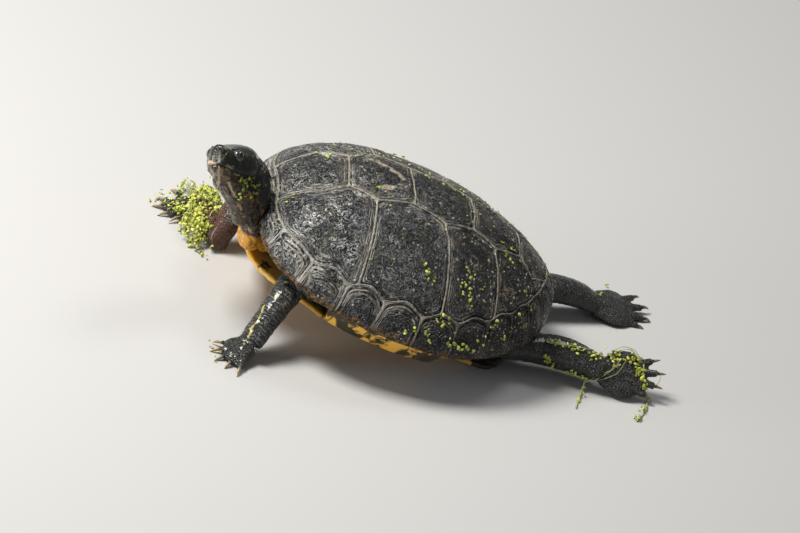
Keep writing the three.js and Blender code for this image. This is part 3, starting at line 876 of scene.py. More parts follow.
def head_to_floor(p):
    """From the head's millimetres to the scene's metres."""
    return to_metres(np.asarray(p) @ HEAD_AXES + HEAD_BASE)


def floor_to_head(p):
    return (to_millimetres(p) - HEAD_BASE) @ HEAD_AXES.T


print("head axis", ahead.round(3), "crown", crown.round(3))

# %% [markdown]
# The skull could start from a ball and be pulled about. Stations along the axis say plainly
# what it is: half width, crown and chin at each, joined by a squarish round.

# %% The skull's form
HEAD_STATIONS = [
    # reach from the nape, half width, crown, chin
    (-5, 6, 4, -5),
    (0, 11.5, 9, -10),
    (8, 15.2, 12.2, -12.5),
    (16, 16.8, 12.2, -13.8),
    (24, 15.6, 10.4, -13.8),
    (31, 12.6, 8.5, -13.2),
    (37, 9.9, 7.5, -12.4),
    (42, 7.7, 8.2, -10.9),
    (45, 5.9, 8.7, -8.8),
    (46.9, 3.8, 7.1, -5.8),
]


def skull_ring(t, a):
    station = smooth_line(HEAD_STATIONS, t)
    c, s = circle(a)
    c, s = np.sign(c) * np.abs(c) ** 0.84, np.sign(s) * np.abs(s) ** 0.84
    k = np.where(s > 0, s * station[:, 2], -s * station[:, 3])
    return np.stack([station[:, 0], c * station[:, 1], k], -1)


skull = closed_sheet("skull", 150, 160, skull_ring)
set_points(skull, head_to_floor(points_of(skull)))
print("skull", len(skull.data.polygons), "faces")

# %% [markdown]
# The eyes sit deep between lids. Each socket is a ball round the eye, a little bigger than
# it, with an almond pressed in at its front down to behind the eyeball. The brow is a long
# low swelling over and before the eye.

# %% Eyelids
EYE_RADIUS = 4.5
LID_RADIUS = 5.25
EYE_PLACE = np.array([33.0, 8.4, 2.9])
EYE_LOOK = unit(np.array([0.42, 1, 0.24]))  # where the left eye looks
EYE_LEAN = np.array([-0.12, 0, 1])
SOCKET_RADIUS = 3.5  # the pressed-in part, behind the front of the eyeball
LID_WIDTH, UPPER_LID, LOWER_LID = (math.radians(a) for a in (76, 58, 62))
BROW_PLACE = np.array([31.0, 6.8, 3.7])
BROW_RADII = np.array([7.5, 4.4, 5.0])
eye_up = unit(EYE_LEAN - EYE_LOOK * (EYE_LEAN @ EYE_LOOK))
eye_along = np.cross(eye_up, EYE_LOOK)


def eye_ball(name, side, radius_of, rows, columns):
    """A ball whose pole is where the eye looks; radius_of(angle, along, up) shapes it."""

    def ring(t, a):
        angle = math.pi * t
        along, up = circle(a)
        radius = radius_of(angle, along, up)
        spot = (
            np.cos(angle)[:, None] * EYE_LOOK
            + (np.sin(angle) * along)[:, None] * eye_along
            + (np.sin(angle) * up)[:, None] * eye_up
        )
        return (EYE_PLACE + radius[:, None] * spot) * [1, side, 1]

    return closed_sheet(name, rows, columns, ring)


def lid_radius(angle, along, up):
    """The almond is wide along the eye and low; the lower lid comes up less."""
    height = np.where(up > 0, UPPER_LID, LOWER_LID)
    opening = LID_WIDTH * height / np.sqrt((height * along) ** 2 + (LID_WIDTH * up) ** 2)
    rim = eased(angle, opening - 0.16, opening)
    past = angle - opening
    lip = 0.4 * hump(past - 0.14, 0.12) - 0.3 * hump(past - 0.4, 0.09)
    return SOCKET_RADIUS + (LID_RADIUS - SOCKET_RADIUS) * rim + lip


lids, brows = [], []
for side_name, side in (("left", 1), ("right", -1)):
    lids.append(eye_ball("lids_" + side_name, side, lid_radius, 90, 90))
    brow = ball_ring(BROW_PLACE * [1, side, 1], BROW_RADII)
    brows.append(closed_sheet("brow_" + side_name, 40, 40, brow))
for piece in lids + brows:
    set_points(piece, head_to_floor(points_of(piece)))
    sew(piece)
print("lids and brows", [p.name for p in lids + brows])

# %% [markdown]
# ## The neck
#
# The neck comes out low under the shell, bends up and stops in a collar of loose skin
# behind the head. A plain tube along a curve would have a round section all the way; a
# closed sheet lets each station have its own width and depth, and long folds besides.

# %% Neck
NECK_STATIONS = [
    # x, y, z in the shell's frame, half width, half depth
    (-84, -9, 16, 14, 8.5),
    (-97, -12, 18.5, 13.5, 8.5),
    (-104.5, -15, 28, 13, 8.2),
    (-111, -15.5, 41, 13.5, 10.4),
    (-118, -13, 50, 15, 13),
]
NECK_TOP = (3, 0, -1)  # its last place, in the head's frame
NECK_TOP_GIRTH = (13.2, 12)
neck_stations = np.array(NECK_STATIONS)
neck_line = np.vstack([to_floor(neck_stations[:, :3]), head_to_floor(NECK_TOP)])
neck_girth = np.vstack([neck_stations[:, 3:], NECK_TOP_GIRTH])


def heading(path, t, step):
    """The way a path runs at share t."""
    return unit(path(np.clip(t + step, 0, 1)) - path(np.clip(t - step, 0, 1)))


def neck_path(t):
    return smooth_line(neck_line, t)


def neck_ring(t, a):
    along = heading(neck_path, t, 0.01)
    across = unit(np.cross(along, [1, 0, 0.2]))
    above = np.cross(across, along)
    c, s = circle(a)
    lift = np.stack([20 * t, 3 * c, 3 * s], -1)
    folds = 0.9 * eased(t, 0.25, 0.6) * noise(lift * [2.1, 0.35, 0.35], 2.2)
    folds = folds + 0.5 * noise(lift, 2.4, 3.1)
    wide, deep = ((smooth_line(neck_girth, t) + folds[:, None]) * MM).T
    return neck_path(t) + across * (c * wide)[:, None] + above * (s * deep)[:, None]


neck = closed_sheet("neck_flesh", 220, 150, neck_ring)
print("neck", len(neck.data.polygons), "faces")

# %% [markdown]
# The throat hangs under the jaw as a second, softer tube, and where the neck leaves the
# shell the skin hangs in a bag. They only have to poke into the neck: what comes next
# makes one body of them.

# %% Throat and bag
THROAT_STATIONS = [
    # reach, sideways and up in the head's frame, half width, half depth
    (37, 0, -9.5, 5.5, 3),
    (30, 0.5, -12.5, 8.7, 5),
    (22, 1.5, -15.5, 9.6, 6.5),
    (13, 3, -19, 9.6, 7.4),
    (4, 4.5, -25, 9.4, 8.2),
    (-6, 5, -33, 9, 8.6),
]
throat_stations = np.array(THROAT_STATIONS, dtype=float)
BAG_CENTRE = np.array([-98, -13, 12])
BAG_RADII = np.array([8.6, 14, 8])


def throat_path(t):
    return smooth_line(throat_stations[:, :3], t)


def throat_ring(t, a):
    along = heading(throat_path, t, 0.02)
    above = np.stack([-along[:, 2], 0 * t, along[:, 0]], -1)
    c, s = circle(a)
    wide, deep = smooth_line(throat_stations[:, 3:], t).T
    across = np.array([0, 1, 0]) * (c * wide)[:, None]
    return head_to_floor(throat_path(t) + across + above * (s * deep)[:, None])


def bag_ring(t, a):
    return to_floor(ball_ring(BAG_CENTRE, BAG_RADII, 1)(t, a))


throat = closed_sheet("throat", 80, 80, throat_ring)
bag = closed_sheet("throat_bag", 60, 60, bag_ring)
print("throat", len(throat.data.polygons), "and bag", len(bag.data.polygons), "faces")

# %% [markdown]
# Joining with booleans leaves hard creases where skin should flow over. Remesh to even
# cells gives one closed surface, and smoothing it lets the parts run into each other. The
# lids come last, with finer cells, so that they stay crisp.

# %% Head and neck in one


def thinned(piece, group_name, chosen, kept):
    """Fewer faces where they are not needed: the part kept of those at the chosen points."""
    group = piece.vertex_groups.new(name=group_name)
    group.add([int(i) for i in np.flatnonzero(chosen)], 1.0, "REPLACE")
    share = float(chosen.mean())
    finish_with(piece, "DECIMATE", ratio=1 - (1 - kept) * share, vertex_group=group_name)
    print(piece.name, len(piece.data.polygons), "faces,", group_name, "share", round(share, 2))


head_and_neck = joined("head_and_neck", [skull, *brows, neck, throat, bag])
recast(head_and_neck, 0.6, 12)
head_and_neck = joined("head_and_neck", [head_and_neck, *lids])
recast(head_and_neck, 0.46, 2)
thinned(head_and_neck, "behind_face", floor_to_head(points_of(head_and_neck))[:, 0] < 6, 0.45)

# %% [markdown]
# The mouth's line, the nostrils and the horny beak are pressed into the finished skin,
# each by its place in the head's own frame. A cut would open the skin and leave it sharp.

# %% Mouth, beak and nostrils
MOUTH_REACH = [20, 25, 32, 39, 44, 47]
MOUTH_HEIGHT = [-8.8, -8.6, -8.1, -6.9, -5.6, -5.3]
NOSTRIL = np.array([46.8, 1.6, 5.2])


def mouth_height(h):
    return np.interp(h, MOUTH_REACH, MOUTH_HEIGHT)


def moved_out(piece, distance):
    """Each point moves outwards by its own distance in millimetres."""
    set_points(piece, points_of(piece) + normals_of(piece) * distance[:, None] * MM)


h, l, k = floor_to_head(points_of(head_and_neck)).T
over = k - mouth_height(h)
along_mouth = eased(h, 20.5, 23.5)
groove = -1.0 * hump(over, 0.5) * along_mouth
beak = 0.35 * hump(over - 1.2, 0.8) * along_mouth
chin = -0.45 * eased(over, 0.2, -0.5) * eased(over, -6, -3) * along_mouth
folded = np.stack([h, np.abs(l), k], -1)
nostril = -1.1 * hump(np.linalg.norm(folded - NOSTRIL, axis=1), 0.75)
press = (groove + beak + chin + nostril) * (h > 15)
moved_out(head_and_neck, press)
rounded(head_and_neck)
print("pressed in by up to", round(float(-press.min()), 2), "mm")

# %% [markdown]
# Limbs and head become one piece. What the shell hides needs few faces, so its mesh is
# collapsed there, and the fine cells are spent on what shows.

# %% One skin
skin = joined("skin", [head_and_neck, limbs])
x, y, z = to_millimetres(points_of(skin)).T
thinned(skin, "hidden", (np.abs(x - 6) < 78) & (np.abs(y) < 62) & (z > 6), 0.05)
rounded(skin)

# %% [markdown]
# ## Lines down the limbs
#
# A line runs down the middle of each limb, the neck, the tail and every toe. For each point
# of the skin, the length along the nearest line says which wrinkle it lies on, because
# wrinkles and rows of scales run round a limb in rings.

# %% Lines down the limbs
LIMB_LINES = [
    [(-50, -27, 43), (-60, -44, 42), (-69, -61, 37), (-79, -77, 23), (-86, -88, 11.5)],
    [(-54, 32, 44), (-78, 45, 43), (-96, 43, 29), (-102, 31, 9), (-109, 47, 8.2), (-116, 61, 7.4)],
    [(74, -31, 21), (94, -25, 18), (112, -20, 17), (132, -18.5, 17), (148, -19.5, 15), (160, -21, 13.5)],
    [(76, 34, 21), (96, 43, 19.5), (114, 50, 19), (130, 55, 18), (147, 60, 14.5), (160, 63.5, 8.6)],
    [(92, 4, 14), (106, 4, 10.5), (122, 5, 6.5), (138, 9, 2.8), (148, 13, 1.8)],
]
# Feet: ankle, forwards, upwards, droop of the toes, claw length, and each toe's angle and reach.
FEET = {
    "forefoot_left": (
        (-86, -88, 9), (-0.85, -0.53, -0.2), (0, 0, 1), 3.3, 8.5,
        [(-42, 25), (-20, 27), (1, 28), (21, 28), (42, 29)],
    ),
    "forefoot_right": (
        (-116, 61, 6.6), (-0.98, 0.22, -0.1), (0, 0, 1), 2.8, 8.5,
        [(50, 25), (31, 29), (12, 32), (-10, 31), (-44, 31)],
    ),
    "hindfoot_left": (
        (160, -21, 13.5), (1, 0.03, 0.02), (0, -0.72, 0.7), 1.3, 6.5,
        [(21, 42), (8, 45), (-5, 44), (-18, 40)],
    ),
    "hindfoot_right": (
        (160, 63.5, 8.6), (0.97, 0.24, -0.09), (0, -0.26, 0.97), 2.6, 6.5,
        [(22, 43), (9, 46), (-5, 45), (-19, 41)],
    ),
}


def on_foot(foot, degrees, reach, lift):
    """A place on a foot, in floor millimetres."""
    ankle, forwards, upwards = (np.array(v, dtype=float) for v in FEET[foot][:3])
    forwards = unit(forwards)
    above = unit(upwards - forwards * (upwards @ forwards))
    side = np.cross(above, forwards)
    turn = math.radians(degrees)
    heading = forwards * math.cos(turn) + side * math.sin(turn)
    return ankle + heading * reach + above * lift


lines = [(stations, 120) for stations in LIMB_LINES]
lines.append((to_millimetres(neck_path(np.linspace(0, 1, 40))), 160))
for foot, (*_, droop, claw_length, toes) in FEET.items():
    for degrees, reach in toes:
        start = on_foot(foot, degrees * 0.9, 0, 0)
        stop = on_foot(foot, degrees, reach - claw_length, -droop)
        lines.append((np.array([start, (start + stop) / 2, stop]), 30))
centres, tangents, lengths, owners = [], [], [], []
for i, (stations, count) in enumerate(lines):
    line = smooth_line(stations, np.linspace(0, 1, count))
    step = np.gradient(line, axis=0)
    centres.append(line)
    tangents.append(unit(step))
    lengths.append(np.cumsum(np.linalg.norm(step, axis=1)))
    owners.append(np.full(count, i))
centres, tangents = np.concatenate(centres), np.concatenate(tangents)
lengths, owners = np.concatenate(lengths), np.concatenate(owners)
print(len(lines), "lines")

# %% [markdown]
# Folds are moved points; wrinkles and scales too fine for the mesh are left to the finish,
# which reads the length along the limb and how strongly each kind shows. Sculpting would
# do it too, but rules can be read and changed.

# %% Folds and wrinkles of the skin
floor_mm = to_millimetres(points_of(skin))
index = nearest(floor_mm, centres)
offset = floor_mm - centres[index]
slip = (offset * tangents[index]).sum(axis=1)
along = lengths[index] + slip
radial = offset - slip[:, None] * tangents[index]
owner = owners[index]
head_mm = floor_to_head(points_of(skin))
on_head = eased(head_mm[:, 0], 1, 7) * eased(np.linalg.norm(head_mm - [20, 0, -2], axis=1), 34, 26)
neckish = (owner == 5) * (1 - on_head)
foreleg = (owner < 2) * 1.0
toes_too = (owner > 5) * 1.0
hindleg = ((owner == 2) | (owner == 3)) * 1.0
ring_place = np.stack([along, 0.3 * radial[:, 1], 0.3 * radial[:, 2]], -1) + 9.3 * owner[:, None]
creases = 1 - np.abs(noise(ring_place, 2.6)) * 2
folds = foreleg * 0.34 * creases + hindleg * 0.22 * creases + neckish * 0.6 * creases
folds = folds + foreleg * 0.35 * noise(ring_place, 5.5, 2.2) + neckish * 0.5 * noise(ring_place, 6, 4.4)
# The collar of loose skin behind the head, and the drum of the ear.
collar = head_mm[:, 0] + 0.22 * np.abs(head_mm[:, 2]) + 1.2 * noise(head_mm, 9)
for reach, height in ((1.5, 0.7), (-2.2, 0.9), (-6, 0.8)):
    away = collar - reach
    folds = folds + height * (hump(away, 1.0) - 0.4) * (np.abs(away) < 2.2)
drum = np.hypot((head_mm[:, 0] - 17) / 4.2, (head_mm[:, 2] + 1) / 3.4)
folds = folds - 0.45 * hump(drum - 1, 0.16) * (np.abs(head_mm[:, 1]) > 11)
folds = folds + on_head * 0.16 * noise(head_mm, 2.4, 1.7)
under_jaw = eased(head_mm[:, 2], -13, -17) * eased(head_mm[:, 0], 40, 32) * (owner == 5)
sagging = np.stack([head_mm[:, 1], 0.2 * (head_mm[:, 0] + head_mm[:, 2]), 0 * along], -1)
slack = 0.55 * (1 - 2 * np.abs(noise(sagging, 2.6, 3.3))) + 0.3 * noise(sagging, 1.6, 7.7)
folds = folds + under_jaw * slack
moved_out(skin, folds)
facing = -radial[:, 0] / np.maximum(np.linalg.norm(radial, axis=1), 1e-6)
over_mouth = head_mm[:, 2] - mouth_height(head_mm[:, 0])
below = eased(over_mouth, -1.0, -4.5)
below = below * (owner == 5) * eased(facing, -0.7, 0.3)
keep_value(skin, "mottled", below)
keep_value(skin, "olive", on_head * (1 - below))
keep_value(skin, "along", along)
keep_value(skin, "ringed", 1.0 * foreleg + 0.35 * hindleg + 0.8 * toes_too + 0.5 * neckish)
keep_value(skin, "scaly", 0.5 * foreleg + hindleg + 0.8 * toes_too + 0.3 * neckish + 0.06 * on_head)
print("folds up to", round(float(np.abs(folds).max()), 2), "mm")

# %% [markdown]
# Each marking is a stroke: a route through a few places with a half width, in the head's
# own millimetres, or in floor millimetres for the neck's foot and the legs. This animal is
# a dark one: it has lost the stripes on top and keeps tan ones under the jaw and throat.

# %% Routes of the markings
HEAD_MARKS = {
    "pale": [
        # thin lines down from the nostrils and the bump before the eye
        ([(46.8, 1.7, 2), (46.9, 1, 0.4), (46.9, 0.1, -1.1)], 0.28),
        ([(46.9, -1.4, 1.7), (46.9, -1.7, -0.1), (46.9, -2.1, -1.7)], 0.28),
        ([(41.6, 4.5, 6.6), (44.2, 5.3, 4), (45.4, 5.1, 1.2), (45.6, 4.9, -2.1)], 0.25),
        # the broad stripe under the left of the jaw, then the pale fold down the neck
        (
            [(33.5, 5.1, -15.2), (29, 5.3, -18.6), (23, 5.7, -22.4), (16, 6.5, -26.8), (10.8, 7.7, -30)],
            1.15,
        ),
        ([(12, 4, -31), (2.4, 3.6, -38.7), (-12, 4.8, -39.5), (-23.3, 10.2, -43)], 1.1),
        ([(45.7, 2.1, -6), (43.6, 1.3, -9.4), (37.2, -0.9, -13.1)], 0.8),
        ([(35.5, -1.5, -14.6), (30.6, -3.7, -18.1), (24, -6.2, -21.5), (12, -9, -26)], 1.0),
        ([(27.7, -11.6, -7.8), (27, -11.8, -7.8)], 1.1),
        ([(42.3, -4.5, -8.4), (36.3, -5.1, -11.7)], 0.9),
        ([(38.4, 5.9, -9.4), (38.9, 7.1, -6.4), (39.4, 8.5, -4)], 0.55),
        ([(37.9, 7.1, -6.9), (34, 8.7, -8.3), (29.4, 9.9, -9.3)], 0.55),
        ([(42.2, 5.6, -6), (41.6, 6, -6)], 1.7),
        ([(39.7, 5.3, -9.3), (39.4, 5.3, -9.6)], 0.5),
        ([(35.7, 5.5, -12.1), (35.4, 5.5, -12.3)], 0.5),
        ([(24, -10.5, -12), (14, -13.5, -16), (4, -14, -20)], 0.8),
        ([(26, 8.9, -13.5), (20, 10.2, -16), (14, 11, -18)], 0.6),
    ],
    "grey": [
        ([(46.9, 0.2, 0.8), (46.8, 1.5, -2.5)], 2.0),
        ([(47, -1.5, 0), (47, -1.8, -2)], 1.2),
        ([(46.5, 3.9, 0.5), (46, 4.5, -1)], 1.0),
    ],
    "rose": [
        ([(44, 2.4, -8), (43, 1.8, -9.6), (41.1, 0.4, -11.2)], 2.3),
        ([(43.6, 5.6, -4.6), (41, 7, -5.4), (38.8, 7.6, -6)], 1.0),
        ([(38.6, 3, -11.3), (36, 4, -12.5)], 1.2),
    ],
    "yellow": [
        ([(16.1, 16.1, 4), (14.5, 15.2, 5.8)], 0.7),
    ],
    "peach": [([(36.1, -10.1, -3.4), (46.2, -4.2, -3.9), (46.7, -1.4, -4.7)], 1.4)],
    # a painted highlight: blue-grey sheen on the front of the left upper lid
    "lid": [([(37.6, 9.3, 3.6), (35.9, 9.8, 5.2), (32.6, 11.1, 6.9)], 1.2)],
    "rust": [
        ([(-20, 16, -44), (-26, 17, -50)], 3),
        ([(13.5, 12.4, -19.5), (12, 12.4, -19.7)], 1.6),
        ([(8.6, 12.5, -23.5), (7.6, 12.5, -23.5)], 1.3),
        ([(4.4, 12, -20.4), (3.2, 12, -20.6)], 1.5),
        ([(0.3, 13.5, -22.4), (-1.5, 13.5, -23)], 1.4),
        ([(-6, 14, -27), (-8, 14, -29)], 1.6),
    ],
}
FLOOR_MARKS = {
    "orange": [
        ([(-104, -20, 42), (-97, -26, 44), (-86, -23, 43)], 5.5),
        ([(-106, -8, 44), (-104, 2, 42)], 4),
    ],
    "brown": [
        ([(-105, 44, 24), (-102, 31, 9), (-109, 47, 8.2), (-114, 57, 8)], 9.5),
        ([(-84, 44, 38), (-96, 43, 29)], 8),
    ],
    "yellow": [
        ([(-78, -62, 46), (-77, -67, 42), (-77, -71, 38)], 0.9),
        ([(-77, -62, 44), (-73, -60, 45), (-67, -59, 47)], 0.6),
        (
            [
                (-83, -74, 33), (-84, -78, 30), (-86, -83, 26),
                (-88, -87, 21), (-89, -90, 17), (-91, -93, 12),
            ],
            0.75,
        ),
    ],
    "pale": [([(-71, -64, 45), (-71, -72, 40), (-70, -77, 33)], 0.35)],
}
print({name: len(marks) for name, marks in {**FLOOR_MARKS, **HEAD_MARKS}.items()})

# %% [markdown]
# Painting by hand on the mesh would be lost when it is made again. Each point measures its
# distance to the stroke instead, bent by a little noise, and keeps how far inside it lies.

# %% Markings kept on the skin
BAG_REACH = (12.5, 18, 12)  # how far round the bag's middle the orange spreads


def stroke(places, route, half, soft=0.8):
    """A half at the stroke's edge, rising to 1 inside and falling to 0 outside."""
    route = smooth_line(route, np.linspace(0, 1, 4 * len(route)))
    away = np.full(len(places), 1e3)
    for a, b in zip(route[:-1], route[1:]):
        step = b - a
        t = np.clip(((places - a) @ step) / max(step @ step, 1e-9), 0, 1)
        away = np.minimum(away, np.linalg.norm(places - a - t[:, None] * step, axis=1))
    return np.clip(0.5 + (half - away) / (2 * soft), 0, 1)


on_bag = np.linalg.norm((floor_mm - to_millimetres(to_floor(BAG_CENTRE))) / BAG_REACH, axis=1)
for name in {**HEAD_MARKS, **FLOOR_MARKS}:
    value = np.zeros(len(head_mm))
    for places, marks in ((head_mm, HEAD_MARKS), (floor_mm, FLOOR_MARKS)):
        bent = places + 0.8 * drift(places, 3.6, 1, 2, 3)
        for route, half in marks.get(name, []):
            value = np.maximum(value, stroke(bent, route, half, 0.5 if half < 1 else 0.9))
    if name == "orange":
        value = np.maximum(value, eased(on_bag, 1.25, 0.75) * (owner == 5))
    keep_value(skin, name, value)
    print(name, int((value > 0.5).sum()), "points")
# The mouth's line and the nostrils are painted near black: the real dark gap and openings, and painted
# shade in the groove and holes.
lip_line_and_shade = hump(over_mouth, 0.42) * eased(head_mm[:, 0], 20.5, 23)
folded = np.stack([head_mm[:, 0], np.abs(head_mm[:, 1]), head_mm[:, 2]], -1)
nostril_holes_and_shade = hump(np.linalg.norm(folded - NOSTRIL, axis=1), 0.8)
keep_value(skin, "deep", np.maximum(lip_line_and_shade, nostril_holes_and_shade) * (head_mm[:, 0] > 15) * (on_head > 0))

# %% [markdown]
# The belly's horn is in six pairs of plates with dark seams, and each has a dark blotch.
# The bridges are darkened nearly all over, partly by their own dark bars and partly as
# painted shade under the edge of the shell. The seams are too fine to model on so flat a
# plate, so each point keeps its distance to the nearest one.

# %% Seams, blotches and painted shade of the belly
BELLY_SEAMS = [-97, -62, -38, -12, 28, 62, 99]
for piece in belly_parts:
    p = to_millimetres(points_of(piece)) - [0, 0, BODY_LIFT]
    x = p[:, 0] * math.cos(BODY_PITCH) - p[:, 2] * math.sin(BODY_PITCH)
    y = p[:, 1]
    x = x + 1.4 * noise(np.stack([x, y, 0 * x], -1), 14) + 0.05 * np.abs(y)
    middles = (np.array(BELLY_SEAMS[:-1]) + BELLY_SEAMS[1:]) / 2
    spans = np.diff(BELLY_SEAMS)
    cell = np.clip(np.searchsorted(BELLY_SEAMS, x) - 1, 0, 5)
    seam = np.minimum(np.abs(x[:, None] - np.array(BELLY_SEAMS[1:-1])).min(axis=1), np.abs(y))
    keep_value(piece, "seam", seam)
    spot = np.hypot((x - middles[cell]) / (0.42 * spans[cell]), (np.abs(y) - 27) / 17)
    blotch = np.clip(1 - spot, 0, 1) * np.where(x < -62, 0.62, 1.1) + 0.6 * eased(x, 66, 84)
    # The bridges are mostly dark: partly their own dark bars, partly painted shade under the rim.
    if piece.name.startswith("bridge"):
        blotch = 0.52 + 0.3 * noise(np.stack([x, y, p[:, 2]], -1), 9)
    keep_value(piece, "blotch", blotch)

# %% [markdown]
# An eyeball is a plain ball whose pole is where the eye looks. Each point keeps its angle
# from that pole, from which the finish draws pupil, iris and ring.

# %% Eyeballs
eyes = []
for side_name, side in (("left", 1), ("right", -1)):
    ball = eye_ball("eyeball_" + side_name, side, lambda angle, x, y: 0 * angle + EYE_RADIUS, 48, 48)
    look = EYE_LOOK * [1, side, 1]
    offset = points_of(ball) - EYE_PLACE * [1, side, 1]
    gaze = np.arccos(np.clip(unit(offset) @ look, -1, 1))
    keep_value(ball, "gaze", np.degrees(gaze))
    keep_value(ball, "height", offset @ eye_up)
    set_points(ball, head_to_floor(points_of(ball)))
    eyes.append(rounded(sew(ball)))
print([eye.name for eye in eyes])

# %% [markdown]
# Claws are long, curved cones, a little deeper than wide. Each starts inside its toe.

# %% Claws
CLAW_RADIUS = 1.45
CLAW_ROOT = 1.6  # how far the claw starts inside its toe


def claw_ring_of(foot, degrees, root_at, tip_at, droop):
    """The rounds of one claw, along its toe from root_at to tip_at."""
    along_toe = unit(on_foot(foot, degrees, 1, 0) - on_foot(foot, degrees, 0, 0))
    above = unit(on_foot(foot, degrees, 1, 1) - on_foot(foot, degrees, 1, 0))
    across = np.cross(along_toe, above)

    def ring(t, a):
        out = root_at + (tip_at - root_at) * t
        lift = -droop + 0.9 * np.sin(math.pi * np.clip(t * 1.1, 0, 1)) - t**2
        centre = np.array([on_foot(foot, degrees, r, k) for r, k in zip(out, lift)])
        girth = CLAW_RADIUS * (1 - t**1.6) ** 0.75 + 0.12
        c, s = circle(a) * girth
        return to_metres(centre + 0.82 * across * c[:, None] + above * s[:, None])

    return ring


claws = []
for foot, (*_, droop, claw_length, toes) in FEET.items():
    own = []
    for i, (degrees, reach) in enumerate(toes):
        root_at = reach - claw_length - CLAW_ROOT
        piece = closed_sheet(f"claw_{i}", 22, 14, claw_ring_of(foot, degrees, root_at, reach, droop))
        away = np.linalg.norm(to_millimetres(points_of(piece)) - on_foot(foot, 0, 0, 0), axis=1)
        keep_value(piece, "reach", np.clip((away - reach + claw_length) / claw_length, 0, 1))
        own.append(piece)
    numbers = range(1, len(toes) + 1)
    claws.append((rounded(joined("claws_" + foot, own)), [f"{foot}_claw_{i}" for i in numbers]))
print(len(claws), "feet with claws")

# %% [markdown]
# ## Duckweed
#
# The turtle has just come out of a weedy pond. Duckweed is a plant of tiny oval floating
# leaves, in twos and threes, with thin roots. One leaf is modelled, a flat dome of a few
# dozen faces, and an array makes the crowd, each copy then laid in its own place. It is
# strewn over the shell, heaped on the right wrist and wound round the left hind foot.

# %% One leaf and its crowd
spread = np.random.default_rng(23)
MAP_WIDTH = 0.5  # metres that the whole map covers
PATCH_WIDTH = 0.003  # a leaf's patch, as a share of the map


def patch_map(piece, centre, local):
    """Each leaf is a small patch of the map, at its place seen from above."""
    layer = piece.data.uv_layers.new(name="OFBake")
    corner = np.empty(len(piece.data.loops), dtype=np.int32)
    piece.data.loops.foreach_get("vertex_index", corner)
    flat = 0.5 + centre[corner, :2] / MAP_WIDTH + local[corner, :2] * PATCH_WIDTH / 2
    layer.data.foreach_set("uv", flat.ravel().astype(np.float32))


def leaves(name, places, facing, length):
    """A crowd of leaves: places in metres, the way each leaf faces, and its length in mm."""
    nothing_selected()
    bpy.ops.mesh.primitive_uv_sphere_add(segments=8, ring_count=4, radius=1)
    piece = bpy.context.object
    piece.name = piece.data.name = name
    one = points_of(piece)
    count, own = len(places), len(one)
    apart = {"use_relative_offset": False, "use_constant_offset": True}
    finish_with(piece, "ARRAY", count=count, constant_offset_displace=(3, 0, 0), **apart)
    tilt = unit(facing + 0.35 * spread.normal(size=(count, 3)))
    ahead_of = unit(np.cross(tilt, spread.normal(size=(count, 3))))
    side_of = np.cross(tilt, ahead_of)
    size = (length * MM / 2)[:, None, None]
    bulge = one[:, 2] * 0.2 + 0.12 * (1 - one[:, 0] ** 2)
    shape = (
        one[None, :, 0, None] * ahead_of[:, None]
        + 0.76 * one[None, :, 1, None] * side_of[:, None]
        + bulge[None, :, None] * tilt[:, None]
    )
    set_points(piece, (places[:, None] + size * shape).reshape(-1, 3))
    keep_value(piece, "tone", np.repeat(spread.random(count), own))
    keep_value(piece, "root", np.zeros(count * own))
    patch_map(piece, np.repeat(places, own, axis=0), np.tile(one, (count, 1)))
    return rounded(piece)


def root(name, route, girth):
    """A thin wandering root through places in floor millimetres."""
    route = np.array(route, dtype=float)
    rows = max(12, int(np.linalg.norm(np.diff(route, axis=0), axis=1).sum() / 1.1))

    def ring(t, a):
        line = smooth_line(route, t)
        line = line + 0.7 * drift(line, 5, 1 + girth, 2 + girth, 3 + girth)
        line[:, 2] = np.maximum(line[:, 2], girth)
        c, s = circle(a) * girth
        ahead_of = unit(route[-1] - route[0])
        side_of = unit(np.cross(ahead_of, [0.3, 0.2, 1]))
        up_of = np.cross(side_of, ahead_of)
        return to_metres(line + side_of * c[:, None] + up_of * s[:, None])

    piece = closed_sheet(name, rows, 5, ring)
    points = points_of(piece)
    keep_value(piece, "tone", np.full(len(points), 0.6))
    keep_value(piece, "root", np.ones(len(points)))
    patch_map(piece, points, 0 * points)
    return rounded(piece)


# %% [markdown]
# On the shell the leaves lie in drifts: along the crest, on the left side plates and on
# the edge. The clearest ones have their own places and the rest are strewn.

# %% Duckweed on the shell
SHELL_WEED = [
    # in the shell's own plan, x towards the tail and y towards the right
    (-65, 37), (-78, 21), (-73, 15), (-24, 40), (-17, 45), (-41, -16), (-91, -24), (-5, 15),
    (7, 17), (14, 17), (23, 22), (52, -13), (61, -11), (56, -20), (62, -24), (-1, -59),
    (2, -61), (4, -62), (8, -64), (30, -49), (33, -52), (31, -57), (35, -57), (32, -61),
    (38, -62), (23, -75), (28, -75), (21, -78), (26, -78), (3, -86), (9, -85), (16, -84),
    (21, -84), (38, -79), (45, -77), (35, -81), (40, -79), (43, -79), (48, -76), (54, -71),
    (60, -69), (62, -60), (73, -60), (78, -46), (85, -46), (77, -34), (86, -37), (94, -4),
]
crest_run = np.linspace(-60, 96, 46)
crest_side = 27 - 0.14 * np.clip(crest_run - 20, 0, 80) + spread.normal(0, 3, 46)


def strewn(count, from_x, to_x, from_y, to_y):
    return np.column_stack([spread.uniform(from_x, to_x, count), spread.uniform(from_y, to_y, count)])


